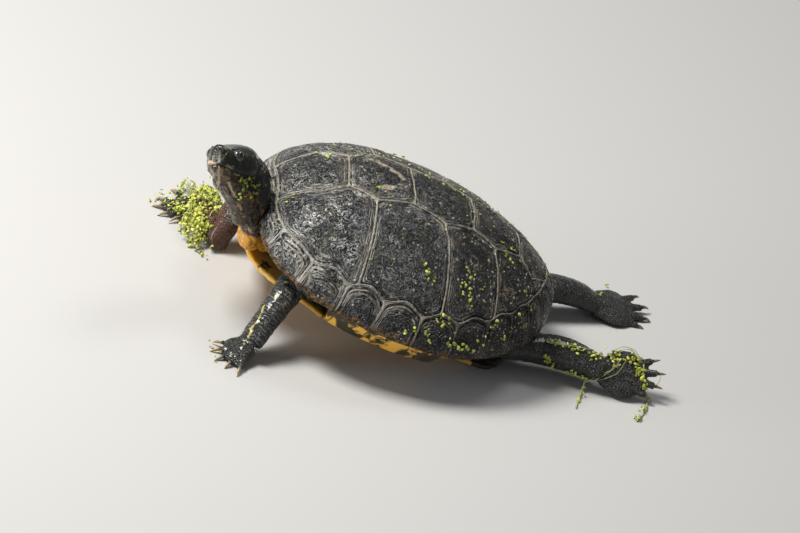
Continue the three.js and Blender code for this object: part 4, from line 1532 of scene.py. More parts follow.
loose = np.vstack([strewn(90, 20, 104, -80, 80), strewn(26, -90, 30, -70, 80)])
loose = loose[np.abs(loose[:, 1]) < 0.96 * half_width(loose[:, 0])]
plan = np.vstack([SHELL_WEED, SHELL_WEED, SHELL_WEED, np.column_stack([crest_run, crest_side]), loose])
spray = np.full(len(plan), 1.3)
spray[: len(SHELL_WEED)] = 0.4
plan = plan + spread.normal(size=plan.shape) * spray[:, None]
widest = 0.985 * half_width(plan[:, 0])
plan[:, 1] = np.clip(plan[:, 1], -widest, widest)
outward = dome_normal(plan)
seat = to_floor(on_dome(*plan.T) + 0.9 * outward)
outward = unit(to_floor(on_dome(*plan.T) + outward) - to_floor(on_dome(*plan.T)))
size = spread.uniform(1.0, 2.1, len(plan))
size[: 2 * len(SHELL_WEED)] = spread.uniform(1.9, 3.0, 2 * len(SHELL_WEED))
shell_weed = leaves("duckweed_on_shell", seat, outward, size)
print(len(plan), "leaves on the shell")

# %% [markdown]
# On the limbs they hang in strands. Leaves are scattered along a route, and those that
# come near the skin are moved onto it.

# %% Duckweed on the limbs
skin_points, skin_normals = points_of(skin), normals_of(skin)


def along_route(route, count, jitter):
    route = np.array(route, dtype=float)
    line = smooth_line(route, spread.random(count))
    return to_metres(line + spread.normal(size=line.shape) * jitter)


def laid_on_skin(places, lift):
    """Places near the skin are moved onto it, each a little above; others stay."""
    index = nearest(places, skin_points)
    gap = np.linalg.norm(places - skin_points[index], axis=1)
    near = (gap < 6 * MM)[:, None]
    over = skin_points[index] + skin_normals[index] * (lift * MM)[:, None]
    seated = np.where(near, over, places)
    seated[:, 2] = np.maximum(seated[:, 2], 0.5 * MM)
    return seated, np.where(near, skin_normals[index], [0, 0, 1])


# Routes in floor millimetres, leaves along each, and their scatter.
HIND_STRANDS = [
    ([(119, -23, 27), (133, -23, 27), (147, -22, 26), (163, -16, 26), (171, -12, 26)], 60, 1.3),
    ([(147, -22, 24), (152, -25, 22)], 14, 1.5),
    ([(163, -16, 24), (168, -19, 20), (180, -14, 24), (185, -14, 23)], 46, 1.8),
    ([(181, -18, 20), (186, -19, 18), (188, -22, 13), (192, -24, 8)], 62, 1.7),
    ([(192, -24, 6), (195, -20, 3), (195, -30, 1.6), (190, -43, 1.4), (187, -50, 1.2)], 46, 1.2),
    ([(117, -29, 20), (124, -30, 14), (137, -28, 11), (148, -29, 9)], 44, 1.2),
    ([(148, -29, 8), (151, -30, 3), (146, -46, 1.2)], 16, 1.0),
]
WRIST_STRANDS = [
    ([(-125, 62, 10), (-128, 52, 9), (-120, 40, 12), (-112, 33, 16)], 60, 2.4),
    ([(-136, 60, 8), (-128, 66, 10), (-116, 68, 13), (-108, 62, 15)], 60, 2.6),
    ([(-124, 50, 10), (-121, 36, 8), (-116, 24, 3), (-110, 18, 1.5)], 40, 2.0),
    ([(-132, 75, 4), (-126, 90, 3), (-112, 94, 3)], 50, 3.0),
    ([(-140, 64, 5), (-132, 56, 7), (-124, 46, 9)], 24, 1.6),
    ([(-145, 68, 3), (-138, 74, 3)], 10, 1.8),
]
OTHER_LEAVES = [
    ([(164, 66, 22), (165, 67, 22)], 8, 1.6),  # right hind leg
    ([(-110, -86, 2), (-104, -112, 2)], 5, 1.4),  # left hand
    ([(-81, -88, 7), (-80, -89, 7)], 2, 0.5),
    ([head_place(27, 9, -11), head_place(17, 11.3, -11.3), head_place(4, 14.5, -13)], 24, 1.9),
    ([head_place(25, 8, -19), head_place(12, 12, -20), head_place(2, 15, -16)], 13, 2.0),
]
LEAF_LENGTH = 2.9
places, lifts, leaf_lengths = [], [], []
for route, count, jitter in HIND_STRANDS + WRIST_STRANDS + OTHER_LEAVES:
    places.append(along_route(route, count, jitter))
    lifts.append(spread.uniform(0.2, 1.6, count))
    leaf_lengths.append(spread.uniform(0.62 * LEAF_LENGTH, LEAF_LENGTH, count))
print(sum(len(own) for own in places), "leaves in strands")

# %% [markdown]
# The heap on the right wrist is a low mound of leaves at all angles, densest at its top.

# %% The heap on the right wrist
HEAP_COUNT = 620
HEAP_MIDDLE = (-113, 57)
HEAP_REACH = (14, 34)
HEAP_HEIGHT = 18
turn, out = spread.uniform(0, 2 * math.pi, HEAP_COUNT), np.sqrt(spread.random(HEAP_COUNT))
heap = np.zeros((HEAP_COUNT, 3))
heap[:, 1] = HEAP_REACH[1] * out * np.sin(turn)
heap[:, 0] = HEAP_REACH[0] * out * np.cos(turn) + 0.16 * heap[:, 1]
heap[:, :2] += HEAP_MIDDLE
heap[:, 2] = 1 + HEAP_HEIGHT * (1 - out**2) ** 0.5 * spread.random(HEAP_COUNT) ** 0.25
seated, facing = laid_on_skin(np.concatenate(places), np.concatenate(lifts))
heap_facing = unit(spread.normal(size=(HEAP_COUNT, 3)) * 0.6 + [-0.1, -0.3, 0.9])
limb_weed = leaves(
    "duckweed_on_limbs",
    np.vstack([seated, to_metres(heap)]),
    np.vstack([facing, heap_facing]),
    np.concatenate([*leaf_lengths, spread.uniform(2.0, 3.9, HEAP_COUNT)]),
)
print(len(seated), "leaves on the limbs and", HEAP_COUNT, "in the heap")

# %% [markdown]
# Roots are thin tubes through a few places. Those round the left hind foot have their own
# routes, and the heap's arch over it at random.

# %% Roots among the duckweed
roots = [
    ([(150, -30, 6), (158, -29, 14), (166, -25, 20), (171, -18, 24)], 0.26),
    ([(151, -30, 7), (160, -30, 12), (169, -27, 18), (174, -19, 23)], 0.22),
    ([(149, -30, 6), (156, -31, 11), (163, -28, 18), (166, -22, 23)], 0.2),
    ([(192, -24, 10), (198, -22, 13), (200, -18, 17), (196, -14, 20)], 0.28),
    ([(187, -17, 18), (190, -21, 13), (191, -24, 8), (193, -24, 4)], 0.3),
    ([(150, -30, 8), (150, -31, 3), (148, -38, 1.2), (145, -54, 0.8)], 0.55),
    ([(186, -17, 22), (192, -25, 8), (195, -24, 2), (194, -36, 1), (187, -52, 0.8)], 0.6),
    ([(112, -24, 27), (121, -24, 27.5), (134, -23.5, 27.5), (148, -21, 27)], 0.3),
    ([(163, -16, 26.5), (170, -12, 29), (178, -12, 28.5), (184, -14, 25)], 0.25),
    ([(166, -15, 26), (173, -12, 28), (181, -13, 26), (186, -16, 22)], 0.2),
]
HEAP_ROOTS = 48
HEAP_ROOTS_MIDDLE = np.array([-114, 58, 0])
for _ in range(HEAP_ROOTS):
    start = HEAP_ROOTS_MIDDLE + np.clip(spread.normal(size=3), -1.3, 1.3) * [7, 14, 0]
    stop = start + np.clip(spread.normal(size=3), -1.3, 1.3) * [7, 13, 0]
    high = spread.uniform(12, 18)
    low = spread.uniform(3, 9, 2)
    middle = (start + stop) / 2 + spread.normal(size=3) * [2, 2, 0]
    route = [(*start[:2], low[0]), (*middle[:2], high), (*stop[:2], low[1])]
    roots.append((route, spread.uniform(0.22, 0.4)))
weed_roots = joined("duckweed_roots", [root(f"root_{i}", *made) for i, made in enumerate(roots)])
print(len(roots), "roots")

# %% [markdown]
# ## Finishes
#
# A painted picture would need the skin unwrapped, and would blur close by. Every finish
# here is made of nodes instead, from patterns in millimetres on the scene's own places. A
# short call adds a node and feeds its inputs in order, so that a finish reads like a
# recipe: one tint is laid over another by the product of some shares.

# %% Short calls for nodes


def put(tree, kind, *values, out=0, **settings):
    """Add a node, feed its inputs in order and give back one output."""
    node = tree.nodes.new("ShaderNode" + kind)
    for key, value in settings.items():
        setattr(node, key, value)
    for socket, value in zip(node.inputs, values):
        feed(tree, socket, value)
    return node.outputs[out]


def feed(tree, socket, value):
    if isinstance(value, bpy.types.NodeSocket):
        tree.links.new(value, socket)
    elif value is not None:
        socket.default_value = value


def sums(tree, operation, *values):
    return put(tree, "Math", *values, operation=operation)


def plus(tree, a, b):
    return sums(tree, "ADD", a, b)


def minus(tree, a, b):
    return sums(tree, "SUBTRACT", a, b)


def times_plus(tree, a, b, c):
    """a times b, and then c more."""
    return sums(tree, "MULTIPLY_ADD", a, b, c)


def times(tree, product, *values):
    for value in values:
        product = sums(tree, "MULTIPLY", product, value)
    return product


def mixed(tree, share, a, b):
    """Colour b over colour a by a share."""
    node = tree.nodes.new("ShaderNodeMix")
    node.data_type = "RGBA"
    for index, value in ((0, share), (6, a), (7, b)):
        if isinstance(value, tuple):
            value = (*value, 1)
        feed(tree, node.inputs[index], value)
    return node.outputs[2]


def laid_over(tree, colour, tint, *shares):
    """A tint over a colour, by the product of some shares."""
    return mixed(tree, times(tree, *shares), colour, tint)


def ramp(tree, value, start, end, low=0.0, high=1.0):
    """low before start, high after end, smooth between."""
    return put(tree, "MapRange", value, start, end, low, high, interpolation_type="SMOOTHSTEP")


def mixed_value(tree, share, a, b):
    """From a to b by a share, for plain values."""
    return times_plus(tree, share, minus(tree, b, a), a)


# %% [markdown]
# Patterns are given their size in millimetres. The values kept on the points come in by
# their names.

# %% Patterns and kept values


def soft_noise(tree, place, size, detail=2.0, rough=0.5, warp=0.0):
    """Noise with features of size millimetres."""
    return put(tree, "TexNoise", place, None, 1000 / size, detail, rough, None, None, None, warp)


def joints(tree, place, size):
    """The distance to the edge of small cells, as between scales."""
    return put(tree, "TexVoronoi", place, None, 1000 / size, feature="DISTANCE_TO_EDGE")


def here(tree):
    return put(tree, "TexCoord", out="Object")


def value_of(tree, name):
    return put(tree, "Attribute", out="Fac", attribute_name=name)


# %% [markdown]
# A group is made once and used in many finishes. Every finish ends in the same way, with
# its colour, its roughness and its fine relief as a bump.

# %% Groups and finishes


def group(name, inputs, outputs, fill):
    """A node group with named sockets; fill(tree, inputs) gives back its outputs in order."""
    tree = bpy.data.node_groups.new(name, "ShaderNodeTree")
    for key, kind in inputs.items():
        tree.interface.new_socket(key, in_out="INPUT", socket_type="NodeSocket" + kind)
    for key in outputs:
        kind = "Color" if key == "Colour" else "Float"
        tree.interface.new_socket(key, in_out="OUTPUT", socket_type="NodeSocket" + kind)
    start = tree.nodes.new("NodeGroupInput")
    end = tree.nodes.new("NodeGroupOutput")
    made = fill(tree, {key: start.outputs[key] for key in inputs})
    for key, socket in zip(outputs, made):
        tree.links.new(socket, end.inputs[key])
    return tree


def use(tree, shared, out=0, **values):
    """Place a shared group; inputs by name, with underscores for blanks."""
    node = tree.nodes.new("ShaderNodeGroup")
    node.node_tree = shared
    for key, value in values.items():
        feed(tree, node.inputs[key.replace("_", " ")], value)
    return node.outputs[out]


def look(name, roughness=0.5, **sockets):
    """A new finish with its Principled shader; plain values are set on the shader itself."""
    finish = bpy.data.materials.new(name)
    finish.use_nodes = True
    shader = finish.node_tree.nodes["Principled BSDF"]
    shader.inputs["Roughness"].default_value = roughness
    for key, value in sockets.items():
        shader.inputs[key.replace("_", " ")].default_value = value
    return finish, finish.node_tree, shader


def finished(finish, tree, shader, colour, rough=None, height=None, depth=0):
    """Feed the shader its colour and, where given, its roughness and a bump of depth mm."""
    tree.links.new(colour, shader.inputs["Base Color"])
    if rough is not None:
        tree.links.new(rough, shader.inputs["Roughness"])
    if height is not None:
        node = tree.nodes.new("ShaderNodeBump")
        node.inputs["Strength"].default_value = 1
        node.inputs["Distance"].default_value = depth * MM
        tree.links.new(height, node.inputs["Height"])
        tree.links.new(node.outputs["Normal"], shader.inputs["Normal"])
    return finish


# %% [markdown]
# An effect that more than one finish needs is a group of nodes of its own: grit, wavy
# squiggles, flecks, mottling, a film of algae and the lines along a seam.

# %% Shared effects


def fill_grit(tree, given):
    """Worn grit: creased noise with fine grains on it."""
    place = given["Place"]
    scale = sums(tree, "DIVIDE", 1000.0, given["Size"])
    broad = put(tree, "TexNoise", place, None, scale, 3.0, 0.6, None, None, None, 0.8)
    crease = sums(tree, "ABSOLUTE", minus(tree, broad, 0.5))
    fine = put(tree, "TexNoise", place, None, times(tree, scale, 3.1), 2.0, 0.6)
    worn = minus(tree, 1.0, times(tree, crease, 3.2))
    return [plus(tree, worn, times(tree, fine, given["Fine"]))]


def fill_squiggles(tree, given):
    """Short wavy crests, their height, and the larger patches they gather in."""
    scale = sums(tree, "DIVIDE", 1000.0, given["Size"])
    value = put(tree, "TexNoise", given["Place"], None, scale, 2.5, 0.55, None, None, None, 1.6)
    away = sums(tree, "ABSOLUTE", minus(tree, value, 0.5))
    gathered = put(tree, "TexNoise", given["Place"], None, times(tree, scale, 0.3), 2.0)
    lines = ramp(tree, away, 0.055, 0.01)
    return [lines, ramp(tree, away, 0.16, 0.0), ramp(tree, gathered, 0.42, 0.58)]


def fill_flecks(tree, given):
    """Small round flecks, in only some of the cells of a random pattern."""
    node = tree.nodes.new("ShaderNodeTexVoronoi")
    feed(tree, node.inputs["Vector"], given["Place"])
    feed(tree, node.inputs["Scale"], sums(tree, "DIVIDE", 1000.0, given["Spacing"]))
    chance = put(tree, "SeparateColor", node.outputs["Color"], out="Red")
    size = put(tree, "SeparateColor", node.outputs["Color"], out="Green")
    chosen = sums(tree, "LESS_THAN", chance, given["Share"])
    reach = times_plus(tree, size, 0.24, 0.03)
    scale = sums(tree, "DIVIDE", 3200.0, given["Spacing"])
    ragged = put(tree, "TexNoise", given["Place"], None, scale, 2.0, 0.6)
    distance = times_plus(tree, ragged, 0.4, minus(tree, node.outputs["Distance"], 0.2))
    inside = ramp(tree, minus(tree, distance, reach), 0.0, 0.06, 1.0, 0.0)
    return [times(tree, inside, chosen)]


def fill_mottle(tree, given):
    """Patches with ragged edges covering a share of the surface."""
    scale = sums(tree, "DIVIDE", 1000.0, given["Size"])
    value = put(tree, "TexNoise", given["Place"], None, scale, 4.0, 0.62)
    edge = minus(tree, 0.78, times(tree, given["Share"], 0.56))
    return [ramp(tree, minus(tree, value, edge), -0.03, 0.04)]


def fill_film(tree, given):
    """A film of algae on what faces up, thicker in patches."""
    facing = put(tree, "SeparateXYZ", put(tree, "NewGeometry", out="Normal"), out=2)
    patch = put(tree, "TexNoise", given["Place"], None, 90.0, 4.0, 0.6)
    return [times(tree, ramp(tree, facing, 0.1, 0.9), ramp(tree, patch, 0.42, 0.66))]


def fill_seams(tree, given):
    """The pale welt at a seam and the thin lines that run beside it, from the distance in mm."""
    place, edge = given["Place"], given["Edge"]
    wave = soft_noise(tree, place, 7, 3, 0.6)
    width = times_plus(tree, wave, 1.0, -0.1)
    welt = ramp(tree, minus(tree, edge, width), 0.0, 0.45, 1.0, 0.0)
    beside, further = (
        sums(tree, "ABSOLUTE", minus(tree, edge, times_plus(tree, wave, bend, away)))
        for bend, away in ((1.6, 1.1), (2.6, 1.9))
    )
    second = ramp(tree, sums(tree, "MINIMUM", beside, further), 0.12, 0.45, 1.0, 0.0)
    some = ramp(tree, soft_noise(tree, place, 14), 0.4, 0.56)
    crests = sums(tree, "SINE", times_plus(tree, edge, 4.4, times(tree, wave, 9.0)))
    rings = times(tree, ramp(tree, crests, 0.55, 0.95), ramp(tree, edge, 12.0, 2.0), some)
    return [welt, times(tree, second, some), rings]


def shared_effect(name, values, outputs, fill):
    """A group that takes a place and some plain values."""
    return group(name, {"Place": "Vector", **{key: "Float" for key in values}}, outputs, fill)


grit = shared_effect("worn_grit", ["Size", "Fine"], ["Height"], fill_grit)
squiggles = shared_effect("squiggles", ["Size"], ["Lines", "Height", "Gathered"], fill_squiggles)
flecks = shared_effect("flecks", ["Spacing", "Share"], ["Mask"], fill_flecks)
mottle = shared_effect("mottling", ["Size", "Share"], ["Mask"], fill_mottle)
film = shared_effect("algae_film", [], ["Mask"], fill_film)
seams = shared_effect("seams", ["Edge"], ["Welt", "Second", "Rings"], fill_seams)
print([g.name for g in bpy.data.node_groups])


def mottled(tree, colour, tint, place, size, share, *shares):
    """Ragged patches of a tint, size mm across, over a share of the surface."""
    return laid_over(tree, colour, tint, use(tree, mottle, Place=place, Size=size, Share=share), *shares)


# %% [markdown]
# The horn of the back is charcoal. Its front is silvery, partly from wear and partly as
# painted sheen, with blue-black patches of painted sheen; its rear is darker and full of
# pale specks. The seams stand up as thin, pale, tan welts.

# %% Horn of the back and the edge
CHARCOAL = (0.0065, 0.0075, 0.0085)
REAR_BLACK = (0.0035, 0.0038, 0.0036)
BLUE_BLACK_SHEEN = (0.02, 0.026, 0.04)
SILVER_WEAR_AND_SHEEN = (0.5, 0.5, 0.48)
SEAM_TAN = (0.46, 0.42, 0.345)
RUST = (0.16, 0.075, 0.03)
DULL_TAN = (0.26, 0.2, 0.13)
BONE = (0.5, 0.47, 0.38)
ALGAE = (0.13, 0.115, 0.04)
SCAB = (0.3, 0.215, 0.13)
SCRAPED_TAN = (0.4, 0.34, 0.26)
EDGE_BROWN = (0.022, 0.014, 0.009)
ORANGE_BROWN = (0.22, 0.12, 0.045)
EDGE_OCHRE = (0.45, 0.25, 0.08)
UNDER_OCHRE = (0.3, 0.15, 0.03)
UNDER_BLOTCH_AND_SHADE = (0.022, 0.016, 0.011)


def edge_browns(tree, place, colour, front, rear):
    """A brown band along the edge, an ochre underside mottled dark brown, partly markings and partly
    painted shade, and a dark inside.
    """
    low = value_of(tree, "low")
    wave = times_plus(tree, soft_noise(tree, place, 5, 4, 0.7), 0.9, low)
    band = ramp(tree, times_plus(tree, front, 0.04, wave), 1.3, 1.44)
    patchy = ramp(tree, soft_noise(tree, place, 2.4, 4, 0.7), 0.42, 0.6)
    brown = mixed(tree, patchy, EDGE_BROWN, ORANGE_BROWN)
    brown = mottled(tree, brown, EDGE_OCHRE, place, 3.0, 0.25, front)
    colour = laid_over(tree, colour, brown, band, times_plus(tree, rear, -0.6, 0.95))
    # The dark brown on the underside is partly markings and partly painted shade under the rim.
    under = mottled(tree, UNDER_OCHRE, UNDER_BLOTCH_AND_SHADE, place, 16.0, 0.62)
    colour = laid_over(tree, colour, under, ramp(tree, low, 1.14, 1.22))
    return laid_over(tree, colour, CHARCOAL, ramp(tree, low, 1.6, 1.64))


def horn_look(name, at_edge):
    shine = 0.26 if at_edge else 0.34
    finish, tree, shader = look(name, Coat_Weight=0.12, Coat_Roughness=0.12, Specular_IOR_Level=shine)
    place, edge = here(tree), value_of(tree, "edge")
    along, across = (put(tree, "SeparateXYZ", place, out=i) for i in (0, 1))
    front, rear = ramp(tree, along, 0.03, -0.075), ramp(tree, along, -0.03, 0.05)
    wear_and_sheen_here = ramp(tree, along, -0.01, -0.12) if at_edge else value_of(tree, "worn")
    # Near a seam the squiggles run along it, as horn grows in rings.
    ring_run = (times(tree, value, by) for value, by in ((edge, 0.001), (along, 0.3), (across, 0.3)))
    ring_place = put(tree, "CombineXYZ", *ring_run)
    lines, crest, gathered = (use(tree, squiggles, out=i, Place=place, Size=4.4) for i in range(3))
    ringed, ring_crest = (use(tree, squiggles, out=i, Place=ring_place, Size=3.4) for i in (0, 1))
    near_seam = ramp(tree, edge, 10.0, 3.0)
    lines = mixed_value(tree, near_seam, lines, ringed)
    crest = mixed_value(tree, near_seam, crest, ring_crest)
    height = use(tree, grit, Place=place, Size=3.2, Fine=0.9)
    grains = ramp(tree, height, 1.2, 1.5)
    # The horn itself, with its silvery wear and painted sheen, its stains and algae.
    gathering = times_plus(tree, gathered, 0.65, 0.35)
    silver_wear_and_sheen = times(tree, lines, gathering, times_plus(tree, wear_and_sheen_here, 0.75, 0.08))
    dull = times(tree, grains, wear_and_sheen_here, 0.08)
    base = mixed(tree, rear, CHARCOAL, REAR_BLACK)
    colour = laid_over(tree, base, SILVER_WEAR_AND_SHEEN, sums(tree, "MAXIMUM", silver_wear_and_sheen, dull))
    # Blue-black patches at the front: a painted bluish sheen.
    colour = mottled(tree, colour, BLUE_BLACK_SHEEN, place, 22.0, 0.4, front, 0.5)
    colour = mottled(tree, colour, RUST, place, 13.0, 0.2, grains, 0.75)
    colour = mottled(tree, colour, DULL_TAN, place, 7.0, 0.1, 0.55)
    coat = times_plus(tree, front, 0.4, 0.15)
    colour = laid_over(tree, colour, ALGAE, use(tree, film, Place=place), coat, grains)
    # Seams, clearest at the front.
    clear = times_plus(tree, rear, -0.75 if at_edge else -0.3, 1.0)
    welt, second, rings = (
        times(tree, use(tree, seams, out=i, Place=place, Edge=edge), clear) for i in range(3)
    )
    showing = times_plus(tree, front, 0.35, 0.15) if at_edge else 0.2
    worn = times_plus(tree, soft_noise(tree, place, 4), 0.5, 0.5)
    for line, share in ((rings, showing), (second, 0.6), (welt, worn)):
        colour = laid_over(tree, colour, SEAM_TAN, line, share)
    # Scabs, pale specks and scrapes on top.
    colour = mottled(tree, colour, SCAB, place, 12.0, 0.3, lines, times_plus(tree, rear, 0.5, 0.3))
    small = use(tree, flecks, Place=place, Spacing=2.9, Share=times_plus(tree, rear, 0.5, 0.22))
    tiny = use(tree, flecks, Place=place, Spacing=1.7, Share=times(tree, rear, 0.4))
    specks = sums(tree, "MAXIMUM", small, tiny)
    colour = laid_over(tree, colour, BONE, specks, 0.85)
    scar = times(tree, value_of(tree, "scar"), soft_noise(tree, place, 1.5, 3))
    colour = laid_over(tree, colour, SCRAPED_TAN, ramp(tree, scar, 0.16, 0.5))
    if at_edge:
        colour = edge_browns(tree, place, colour, front, rear)
    rough = times_plus(tree, soft_noise(tree, place, 5, 3), 0.3, 0.05)
    ridge = sums(tree, "MAXIMUM", times(tree, second, 0.5), times(tree, specks, 0.6))
    swell = times(tree, soft_noise(tree, place, 6, 3, 0.55, 0.6), 1.6)
    relief = times_plus(tree, crest, 0.9, times(tree, height, 0.6))
    relief = plus(tree, plus(tree, relief, swell), ridge)
    return finished(finish, tree, shader, colour, rough, relief, 1.1)


back_horn = horn_look("charcoal_horn", False)
edge_horn = horn_look("edge_horn", True)
print(back_horn.name, len(back_horn.node_tree.nodes), "nodes")

# %% [markdown]
# Under the shell the horn is yellow to orange, with dark blotches whose edges are ragged:
# noise is added to the kept value before it is cut off. On the bridges the dark is partly
# painted shade.

# %% Horn of the belly
BELLY_YELLOW = (0.95, 0.6, 0.11)
BELLY_ORANGE = (0.8, 0.38, 0.035)
BELLY_PALE = (0.75, 0.55, 0.2)
BELLY_BLOTCH_AND_SHADE = (0.035, 0.028, 0.014)
BELLY_SEAM = (0.09, 0.045, 0.015)
BELLY_STAIN = (0.2, 0.09, 0.02)


def belly_look():
    wet = {"Coat_Weight": 0.3, "Coat_Roughness": 0.1, "Specular_IOR_Level": 0.35}
    finish, tree, shader = look("belly_horn", **wet)
    place = here(tree)
    colour = mixed(tree, soft_noise(tree, place, 18, 3), BELLY_ORANGE, BELLY_YELLOW)
    colour = mottled(tree, colour, BELLY_PALE, place, 9.0, 0.25, 0.4)
    # Dark blotches, and on the bridges painted shade as well.
    ragged = times_plus(tree, soft_noise(tree, place, 5, 4, 0.6), 0.9, value_of(tree, "blotch"))
    colour = laid_over(tree, colour, BELLY_BLOTCH_AND_SHADE, ramp(tree, ragged, 0.86, 1.0))
    seam = ramp(tree, value_of(tree, "seam"), 0.35, 0.9, 1.0, 0.0)
    colour = laid_over(tree, colour, BELLY_SEAM, seam, 0.85)
    colour = mottled(tree, colour, BELLY_STAIN, place, 4.0, 0.2, 0.35)
    rough = times_plus(tree, soft_noise(tree, place, 6, 3), 0.3, 0.2)
    relief = use(tree, grit, Place=place, Size=5.0, Fine=0.4)
    return finished(finish, tree, shader, colour, rough, relief, 0.12)


belly_horn = belly_look()
print(belly_horn.name, len(belly_horn.node_tree.nodes), "nodes")

# %% [markdown]
# The skin is wet, near black and olive, and broken into small scales on the legs, whose
# tops and wrinkle crests are painted lighter as highlights. Pale, orange and brown markings
# come from values kept on its points, with ragged edges.

# %% Wet skin
OLIVE_BLACK = (0.0055, 0.0058, 0.0035)
MOSS_BLACK = (0.016, 0.017, 0.008)
WARM_BLACK = (0.035, 0.022, 0.01)
SCALE_TOP_HIGHLIGHT = (0.12, 0.125, 0.115)
CREST_HIGHLIGHT_GREY = (0.15, 0.155, 0.155)
HEAD_OLIVE = (0.026, 0.028, 0.011)
UMBER = (0.05, 0.03, 0.012)
THROAT_TAN = (0.2, 0.13, 0.05)
THROAT_DARK = (0.02, 0.014, 0.008)
LID_HIGHLIGHT_BLUE = (0.13, 0.15, 0.18)
ORANGE_RED = (0.5, 0.13, 0.015)
SNOUT_GREY = (0.22, 0.2, 0.17)
DOT_YELLOW = (0.35, 0.34, 0.2)
LIP_BLACK_AND_SHADE = (0.004, 0.004, 0.003)
# Each mark's tint, and half the width over which its edge fades.
MARK_TINTS = {
    "brown": ((0.085, 0.035, 0.018), 0.3),
    "rust": ((0.3, 0.13, 0.03), 0.12),
    "orange": ((0.88, 0.4, 0.03), 0.3),
    "rose": ((0.2, 0.125, 0.08), 0.12),
    "yellow": ((0.55, 0.46, 0.12), 0.12),
    "pale": ((0.36, 0.27, 0.14), 0.12),
    "peach": ((0.6, 0.42, 0.24), 0.12),
}


def skin_look():
    wet = {"Coat_Weight": 0.32, "Coat_Roughness": 0.1, "Specular_IOR_Level": 0.35}
    finish, tree, shader = look("wet_skin", **wet)
    place = here(tree)
    scaly, below = value_of(tree, "scaly"), value_of(tree, "mottled")
    crease, fine = (ramp(tree, joints(tree, place, size), 0.0, 0.3) for size in (1.35, 0.8))
    wander = times(tree, soft_noise(tree, place, 4, 4, 0.6), 15.0)
    turn = times_plus(tree, value_of(tree, "along"), 2.6, wander)
    wrinkles = sums(tree, "ABSOLUTE", sums(tree, "SINE", times(tree, turn, 0.5)))
    rings = times(tree, wrinkles, value_of(tree, "ringed"))
    # Black skin, with painted highlights on the scale tops and wrinkle crests of the legs.
    colour = mottled(tree, OLIVE_BLACK, MOSS_BLACK, place, 8.0, 0.35, 0.6)
    colour = mottled(tree, colour, WARM_BLACK, place, 5.0, 0.2, 0.4)
    colour = laid_over(tree, colour, SCALE_TOP_HIGHLIGHT, crease, soft_noise(tree, place, 2.5), scaly, 0.85)
    worn = ramp(tree, soft_noise(tree, place, 3.5, 3), 0.4, 0.62)
    colour = laid_over(tree, colour, CREST_HIGHLIGHT_GREY, ramp(tree, rings, 0.62, 0.92), worn, 0.7)
    # The head is olive above the mouth and mottled with umber and tan below it.
    colour = mottled(tree, colour, HEAD_OLIVE, place, 5.0, 0.45, value_of(tree, "olive"), 0.6)
    colour = mottled(tree, colour, UMBER, place, 4.0, 0.55, below)
    colour = mottled(tree, colour, THROAT_TAN, place, 3.4, 0.36, below)
    ragged = times_plus(tree, soft_noise(tree, place, 1.8, 4, 0.65), 1.5, -0.75)
    for name, (tint, soft) in MARK_TINTS.items():
        mask = ramp(tree, plus(tree, value_of(tree, name), ragged), 0.5 - soft, 0.5 + soft)
        shade = mixed(tree, soft_noise(tree, place, 2.2, 3), tuple(0.6 * c for c in tint), tint)
        colour = laid_over(tree, colour, shade, mask)
    colour = mottled(tree, colour, THROAT_DARK, place, 2.4, 0.34, below, 0.8)
    # Painted highlight: a blue-grey sheen on the left upper lid.
    lid = ramp(tree, times_plus(tree, ragged, 0.3, value_of(tree, "lid")), 0.2, 0.9)
    colour = laid_over(tree, colour, LID_HIGHLIGHT_BLUE, lid)
    colour = mottled(tree, colour, ORANGE_RED, place, 4.5, 0.4, value_of(tree, "orange"), 0.55)
    pale_lines = use(tree, squiggles, Place=place, Size=2.4)
    colour = laid_over(tree, colour, SNOUT_GREY, pale_lines, value_of(tree, "grey"))
    dots = use(tree, flecks, Place=place, Spacing=2.6, Share=0.2)
    colour = laid_over(tree, colour, DOT_YELLOW, dots, 0.5)
    # Near black in the mouth's line and nostrils: their own dark, and painted shade.
    colour = laid_over(tree, colour, LIP_BLACK_AND_SHADE, value_of(tree, "deep"))
    rough = times_plus(tree, soft_noise(tree, place, 3, 3), 0.34, 0.1)
    scales = times(tree, plus(tree, crease, times(tree, fine, 0.3)), scaly)
    wrinkle = times(tree, use(tree, grit, Place=place, Size=1.8, Fine=0.5), 0.2)
    relief = times_plus(tree, rings, 0.9, plus(tree, scales, wrinkle))
    return finished(finish, tree, shader, colour, rough, relief, 0.42)


wet_skin = skin_look()
print(wet_skin.name, len(wet_skin.node_tree.nodes), "nodes")

# %% [markdown]
# The eye is a wet ball: a round black pupil, a dark olive iris with a thin pale ring and
# the dark bar that crosses it, and a painted blue-grey sheen on its outer part under the lids.

# %% The eye
IRIS_DARK = (0.012, 0.011, 0.005)
IRIS_OLIVE = (0.045, 0.038, 0.012)
IRIS_BAR = (0.01, 0.009, 0.005)
IRIS_RING = (0.22, 0.18, 0.05)
PUPIL_BLACK = (0.002, 0.002, 0.002)
EYE_SHEEN_BLUE_GREY = (0.075, 0.09, 0.11)


